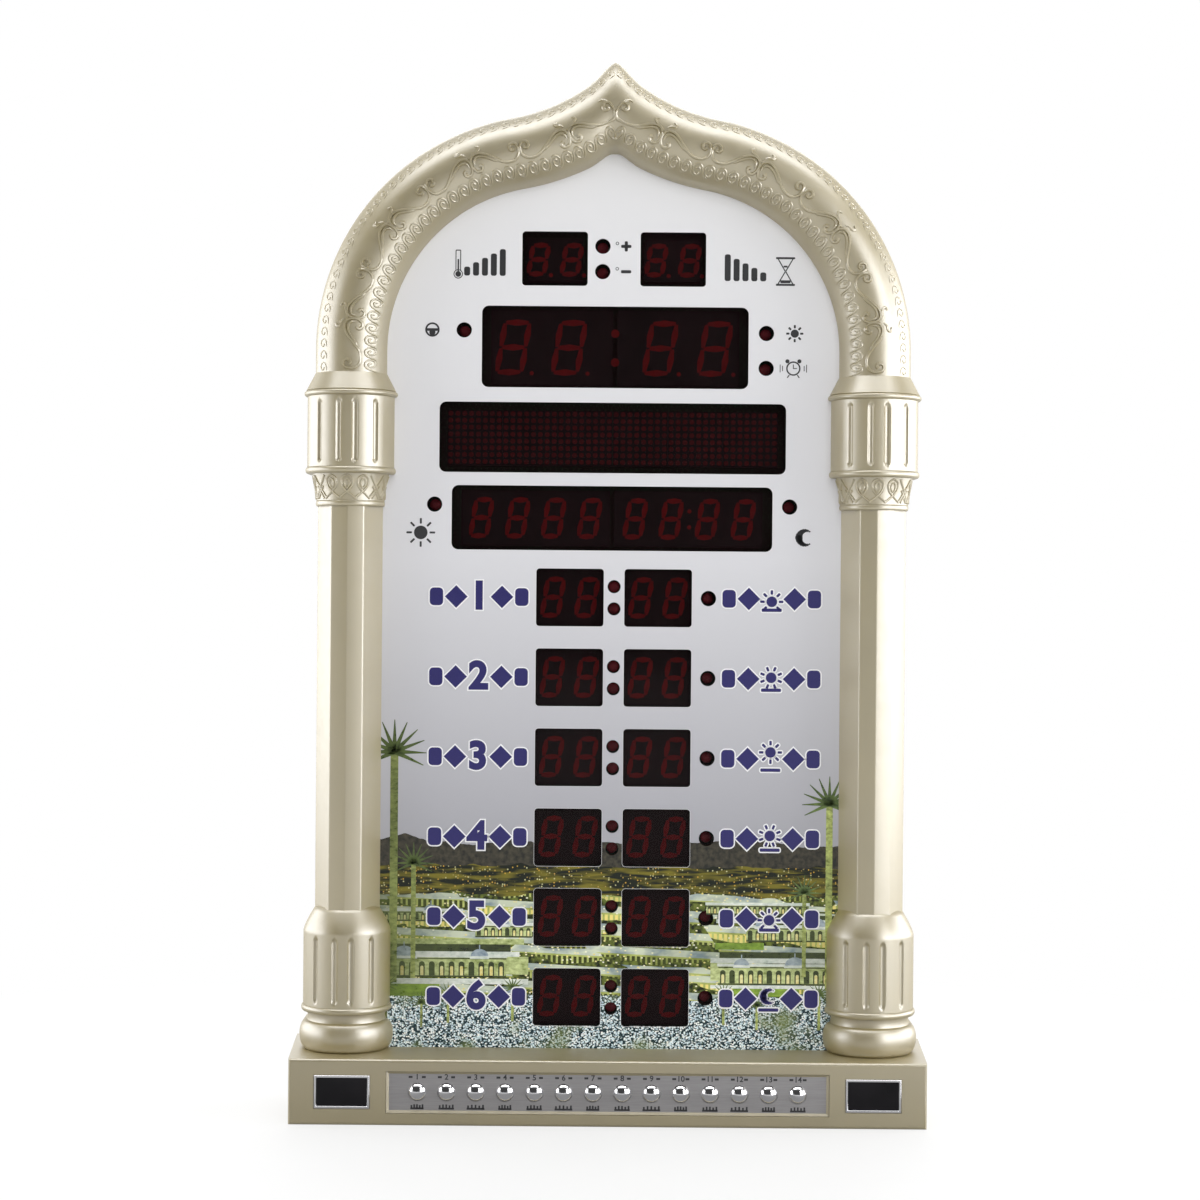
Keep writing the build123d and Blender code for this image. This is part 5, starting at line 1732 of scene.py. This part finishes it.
def segment_bar(extent, stroke):
    """A bar with pointed ends along X, from a hexagon pulled apart."""
    radius = stroke / sqrt(3)

    def hexagon(bm):
        flat_disc(bm, radius, 6)
        for side in SIDES:
            end = [v for v in bm.verts if v.co.x * side > 0]
            bmesh.ops.translate(bm, vec=(side * (extent / 2 - radius), 0.0, 0.0), verts=end)
        return bm.faces[:]
    return slab(hexagon, *SEGMENT_DEPTH)


def digit(height, width, stroke, gap, slant):
    """Seven slanted segments round the origin."""
    level = segment_bar(width - stroke - gap, stroke)
    upright = segment_bar(height / 2 - stroke / 2 - gap, stroke)
    bm = bmesh.new()
    rise, reach = (height - stroke) / 2, (width - stroke) / 2
    for z in (-rise, 0.0, rise):
        stamp(bm, level, 0.0, 0.0, z)
    for x in (-reach, reach):
        for z in (-rise / 2, rise / 2):
            stamp(bm, upright, x, 0.0, z, pi / 2)
    for v in bm.verts:
        v.co.x += v.co.z * sin(slant) / cos(slant)
    return mesh_of(bm)


def round_dot(radius, segments=16):
    return slab(lambda bm: flat_disc(bm, radius, segments), *SEGMENT_DEPTH)


# Places in millimetres from a display's middle: digits across, and a colon's dots across and up. A
# decimal point is counted from the middle of its digit, and a row's digits from its module's middle.
CLOCK_DIGITS, CLOCK_POINT, CLOCK_COLON = (-46.0, -20.8, 20.4, 45.0), (8.4, -11.6), (0.0, 6.5)
SMALL_DIGITS, SMALL_POINT = (-7.5, 7.5), (5.6, -7.0)
ROW_DIGIT = 7.7
LEFT_DATE_DIGITS = (-24.45, -8.15, 8.15, 24.45)
RIGHT_DATE_DIGITS, DATE_COLON = (-24.0, -7.8, 8.6, 24.8), (0.4, 3.6)


class AZAN_OT_digits(Operator):
    """Unlit red digits on every display block"""

    bl_idname = "azan.digits"
    bl_label = "Digits"

    def execute(self, context):
        s = context.scene.azan_clock.display
        large = digit(s.clock_digit, s.clock_digit_width, s.clock_stroke, s.segment_gap, s.slant)
        medium = digit(s.row_digit, s.row_digit_width, s.row_stroke, s.segment_gap, s.slant)
        small = digit(s.small_digit, s.small_digit_width, s.row_stroke, s.segment_gap, s.slant)
        point, eye = round_dot(s.point_radius), round_dot(s.eye_radius, 24)
        clock = centre_of("clock_display")
        left, right = centre_of("left_date_display"), centre_of("right_date_display")
        spots = self.with_points(large, point, clock, CLOCK_DIGITS, CLOCK_POINT)
        self.close("clock_digits", spots + self.colon(eye, clock, CLOCK_COLON))
        spots = []
        for node in ("temperature_display", "countdown_display"):
            spots += self.with_points(small, point, centre_of(node), SMALL_DIGITS, SMALL_POINT)
        self.close("small_digits", spots)
        spots = []
        for row in range(ROWS):
            for module in SIDES:
                x = module * ROW_MODULE_X / MM
                spots += [(medium, row_centre(row), x + side * ROW_DIGIT, 0.0) for side in SIDES]
        self.close("row_digits", spots)
        spots = [(medium, left, x, 0.0) for x in LEFT_DATE_DIGITS]
        spots += [(medium, right, x, 0.0) for x in RIGHT_DATE_DIGITS]
        self.close("date_digits", spots + self.colon(point, right, DATE_COLON))
        return {"FINISHED"}

    def with_points(self, figure, point, centre, places, point_place):
        """A display's digits, each with its decimal point."""
        across, up = point_place
        spots = [(figure, centre, x, 0.0) for x in places]
        return spots + [(point, centre, x + across, up) for x in places]

    def colon(self, dot, centre, dot_place):
        across, up = dot_place
        return [(dot, centre, across, side * up) for side in SIDES]

    def close(self, name, spots):
        """Stamps (mesh, display's middle, x, z), in millimetres from that middle, as one piece."""
        bm = bmesh.new()
        for mesh, centre, x, z in spots:
            stamp(bm, mesh, centre.x + x * MM, MODULE_FRONT, centre.z + z * MM)
        finished(bm, name, red_segment())


class AZAN_OT_matrix_dots(Operator):
    """Round dots of the matrix modules"""

    bl_idname = "azan.matrix_dots"
    bl_label = "Matrix dots"

    def execute(self, context):
        low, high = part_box("matrix_display")
        columns = MATRIX_MODULES * MATRIX_DOTS
        pitch_x, pitch_z = (high.x - low.x) / columns, (high.z - low.z) / MATRIX_DOTS
        dot = round_dot(context.scene.azan_clock.display.dot_radius, 12)
        bm = bmesh.new()
        for i in range(columns):
            for j in range(MATRIX_DOTS):
                stamp(bm, dot, low.x + (i + 0.5) * pitch_x, MODULE_FRONT, low.z + (j + 0.5) * pitch_z)
        finished(bm, "matrix_dots", dim_dot())
        return {"FINISHED"}


class AZAN_OT_display_finishes(Operator):
    """Filter, display blocks and lamps"""

    bl_idname = "azan.display_finishes"
    bl_label = "Filter, blocks and lamps"

    def execute(self, context):
        dress("display_filter", smoked_filter())
        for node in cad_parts:
            if node.endswith("_display"):
                dress(node, digit_module())
        for node in ("colon_leds", "indicator_leds"):
            smoothed_copy(node, f"{node}_smooth", lamp_red(), smooth=50)
        return {"FINISHED"}


# ---- Covers and what they hold ----

class AZAN_OT_rear_covers(Operator):
    """Moulded rear cover and base cover, and the screws that show in their wells"""

    bl_idname = "azan.rear_covers"
    bl_label = "Rear covers"

    def execute(self, context):
        for node, name, material, slot in (
                ("rear_cover", "rear_shell", moulded_plastic("cover"), "cover_plastic"),
                ("base_cover", "base_back", moulded_plastic("cover"), "cover_plastic"),
                ("case_screws", "case_screw_set", plain_metal("plated"), "plated_metal"),
                ("jack_barrel", "inlet_barrel", moulded_plastic("black"), "black_plastic"),
                ("jack_pin", "inlet_pin", plain_metal("plated"), "plated_metal")):
            smoothed_copy(node, name, material, smooth=40)
        return {"FINISHED"}


class AZAN_OT_inner_parts(Operator):
    """Boards, chips, speaker, cell and leads"""

    bl_idname = "azan.inner_parts"
    bl_label = "Inner parts"

    def execute(self, context):
        black, sheath = moulded_plastic("black"), cable_sheath()
        finishes = {
            "main_board": circuit_board(), "button_board": circuit_board(), "switch_housings": black,
            "remote_receiver": black, "light_sensor": black, "speaker_frame": plain_metal("pressed"),
            "speaker_magnet": plain_metal("ferrite"), "speaker_cone": cone_paper(),
            "cell_holder": black, "backup_cell": plain_metal("plated"), "controller_chip": black,
            "driver_chips": black, "capacitors": plain_metal("can"), "ribbon_cable": sheath,
            "board_plugs": moulded_plastic("white"), "power_lead": sheath, "speaker_lead": sheath,
            "board_screws": plain_metal("plated"),
        }
        for node, material in finishes.items():
            dress(node, material)
        return {"FINISHED"}


# ---- Studio ----

class AZAN_OT_studio(Operator):
    """Pale floor, white surroundings, soft lights and the camera"""

    bl_idname = "azan.studio"
    bl_label = "Studio"

    def execute(self, context):
        studio = context.scene.azan_clock.studio
        self.floor()
        self.world(context.scene, studio)
        self.light("side_light_left", (-1.25, 0.15, 0.3), (1.8, 1.15), studio.side_power)
        self.light("side_light_right", (1.3, 0.1, 0.3), (1.8, 1.15), studio.side_power * 1.3)
        self.light("rear_light", (0.0, 1.6, 1.2), (1.4, 0.9), studio.rear_power)
        front = self.light("front_light", (0.2, -1.35, 0.9), (1.2, 1.2), studio.front_power)
        front.visible_glossy = False
        window = self.light("window_light", (0.64, -0.62, 0.32), (0.42, 0.85), studio.window_power)
        top = self.light("top_light", (0.0, -0.25, 1.25), (1.6, 0.5), studio.top_power)
        for lamp in (window, top):
            lamp.visible_diffuse = False
        self.camera(context.scene, studio)
        context.scene.view_settings.view_transform = "Standard"
        return {"FINISHED"}

    def floor(self):
        bm = bmesh.new()
        bmesh.ops.create_grid(bm, x_segments=1, y_segments=1, size=6.0)
        mesh = mesh_of(bm, "studio_floor")
        mesh.materials.append(self.floor_finish())
        new_object("studio_floor", mesh)

    def floor_finish(self):
        """Pale matt floor that fades into white, pale to mirrors too; it throws less light back."""
        f = Finish("studio_floor_paint")
        x, y, _ = f.axes()
        away = f.node("VectorMath", {"operation": "LENGTH"}, {0: f.at(x, y * 1.4, 0.0)}, output="Value")
        seen = f.node("LightPath", output="Is Camera Ray")
        paint = f.blend(f.drift(9.0, 3.0), (0.88, 0.88, 0.88), (0.92, 0.92, 0.92))
        pale = f.node("BsdfPrincipled", {}, {"Base Color": paint, "Roughness": 0.7})
        bare = f.node("BsdfDiffuse", {}, {"Color": (0.5, 0.5, 0.49, 1.0)})
        shown = f.mixed(f.between(away, 0.1, 0.5), f.glow(0.3), f.glow(1.0))
        table = f.mixed(f.mirrored_rays(), bare, shown)
        fading = f.mixed(f.between(away, 0.2, 0.55, 0.6, 1.0), pale, f.glow(1.0))
        f.node("OutputMaterial", {}, {"Surface": f.mixed(seen, table, fading)})
        return f.material

    def world(self, scene, studio):
        """White to the camera, plain light all round, and a room of windows to glossy surfaces."""
        world = bpy.data.worlds.new("studio_world")
        scene.world = world
        world.use_nodes = True
        f = Finish.on(world.node_tree)
        camera = f.node("LightPath", output="Is Camera Ray")
        glossy = f.mirrored_rays()
        x, y, z = f.parts_of(f.node("TexCoord", output="Generated"))
        low = f.between(z, 0.15, 0.4, 1.0, 0.0)
        window = f.between(x, 0.3, 0.6, 0.0, studio.window_level) * low + studio.front_level
        sides = f.between(x.size(), 0.6, 0.97, 0.0, studio.side_level) * low
        behind = f.between(y, -0.15, 0.3)
        above = f.between(z + y * 0.5, 0.45, 0.85)
        mirrored = window.at_least(sides).at_least(behind).at_least(above)
        level = glossy * mirrored + (1.0 - glossy) * studio.world_level
        level = camera + (1.0 - camera) * level
        background = f.node("Background", {}, {"Color": (1.0, 1.0, 1.0, 1.0), "Strength": level})
        f.node("OutputWorld", {}, {"Surface": background})

    def light(self, name, where, size, power):
        """A soft rectangle that looks at the clock's middle and isn't seen by the camera itself."""
        lamp = bpy.data.lights.new(name, "AREA")
        lamp.shape = "RECTANGLE"
        lamp.size, lamp.size_y = size
        lamp.energy = power
        holder = new_object(name, lamp)
        way = Vector((0.0, 0.0, 0.25)) - Vector(where)
        holder.matrix_world = Matrix.Translation(where) @ way.to_track_quat("-Z", "Y").to_matrix().to_4x4()
        holder.visible_camera = False
        return holder

    def camera(self, scene, studio):
        lens = bpy.data.cameras.new("studio_camera")
        lens.sensor_width = 36.0
        lens.sensor_fit = "HORIZONTAL"
        lens.lens = studio.lens
        lens.clip_start = 0.01
        camera = new_object("studio_camera", lens)
        where = Matrix.Translation((studio.camera_x, -studio.camera_distance, studio.camera_z))
        level = Matrix.Rotation(pi / 2 - studio.pitch, 4, "X")
        camera.matrix_world = where @ level @ Matrix.Rotation(studio.roll, 4, "Z")
        scene.camera = camera


# ---- Panel and registration ----

STEPS = [AZAN_OT_arch_moulding, AZAN_OT_arch_relief, AZAN_OT_columns, AZAN_OT_necking_lattice,
         AZAN_OT_base, AZAN_OT_control_plate, AZAN_OT_buttons, AZAN_OT_sensor_windows,
         AZAN_OT_printed_face, AZAN_OT_printed_town, AZAN_OT_labels, AZAN_OT_digits,
         AZAN_OT_matrix_dots, AZAN_OT_display_finishes, AZAN_OT_rear_covers, AZAN_OT_inner_parts,
         AZAN_OT_studio]


class AZAN_PT_clock(Panel):
    """Lists the clock's pieces in the sidebar"""

    bl_idname = "AZAN_PT_clock"
    bl_label = "Azan clock"
    bl_space_type = "VIEW_3D"
    bl_region_type = "UI"
    bl_category = "Azan Clock"

    def draw(self, context):
        for step in STEPS:
            self.layout.operator(step.bl_idname)


GROUPS = [ArchSizes, ColumnSizes, DisplaySizes, FaceSizes, StripSizes, ClockColours, StudioSettings,
          ClockSettings]


def register():
    for item in GROUPS + STEPS + [AZAN_PT_clock]:
        bpy.utils.register_class(item)
    bpy.types.Scene.azan_clock = PointerProperty(type=ClockSettings, name="Azan clock",
                                                 description="Sizes, colours and studio")


def unregister():
    del bpy.types.Scene.azan_clock
    for item in reversed(GROUPS + STEPS + [AZAN_PT_clock]):
        bpy.utils.unregister_class(item)


def main():
    register()
    for step in STEPS:
        group, name = step.bl_idname.split(".")
        getattr(getattr(bpy.ops, group), name)()
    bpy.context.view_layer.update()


if __name__ == "__main__":
    main()
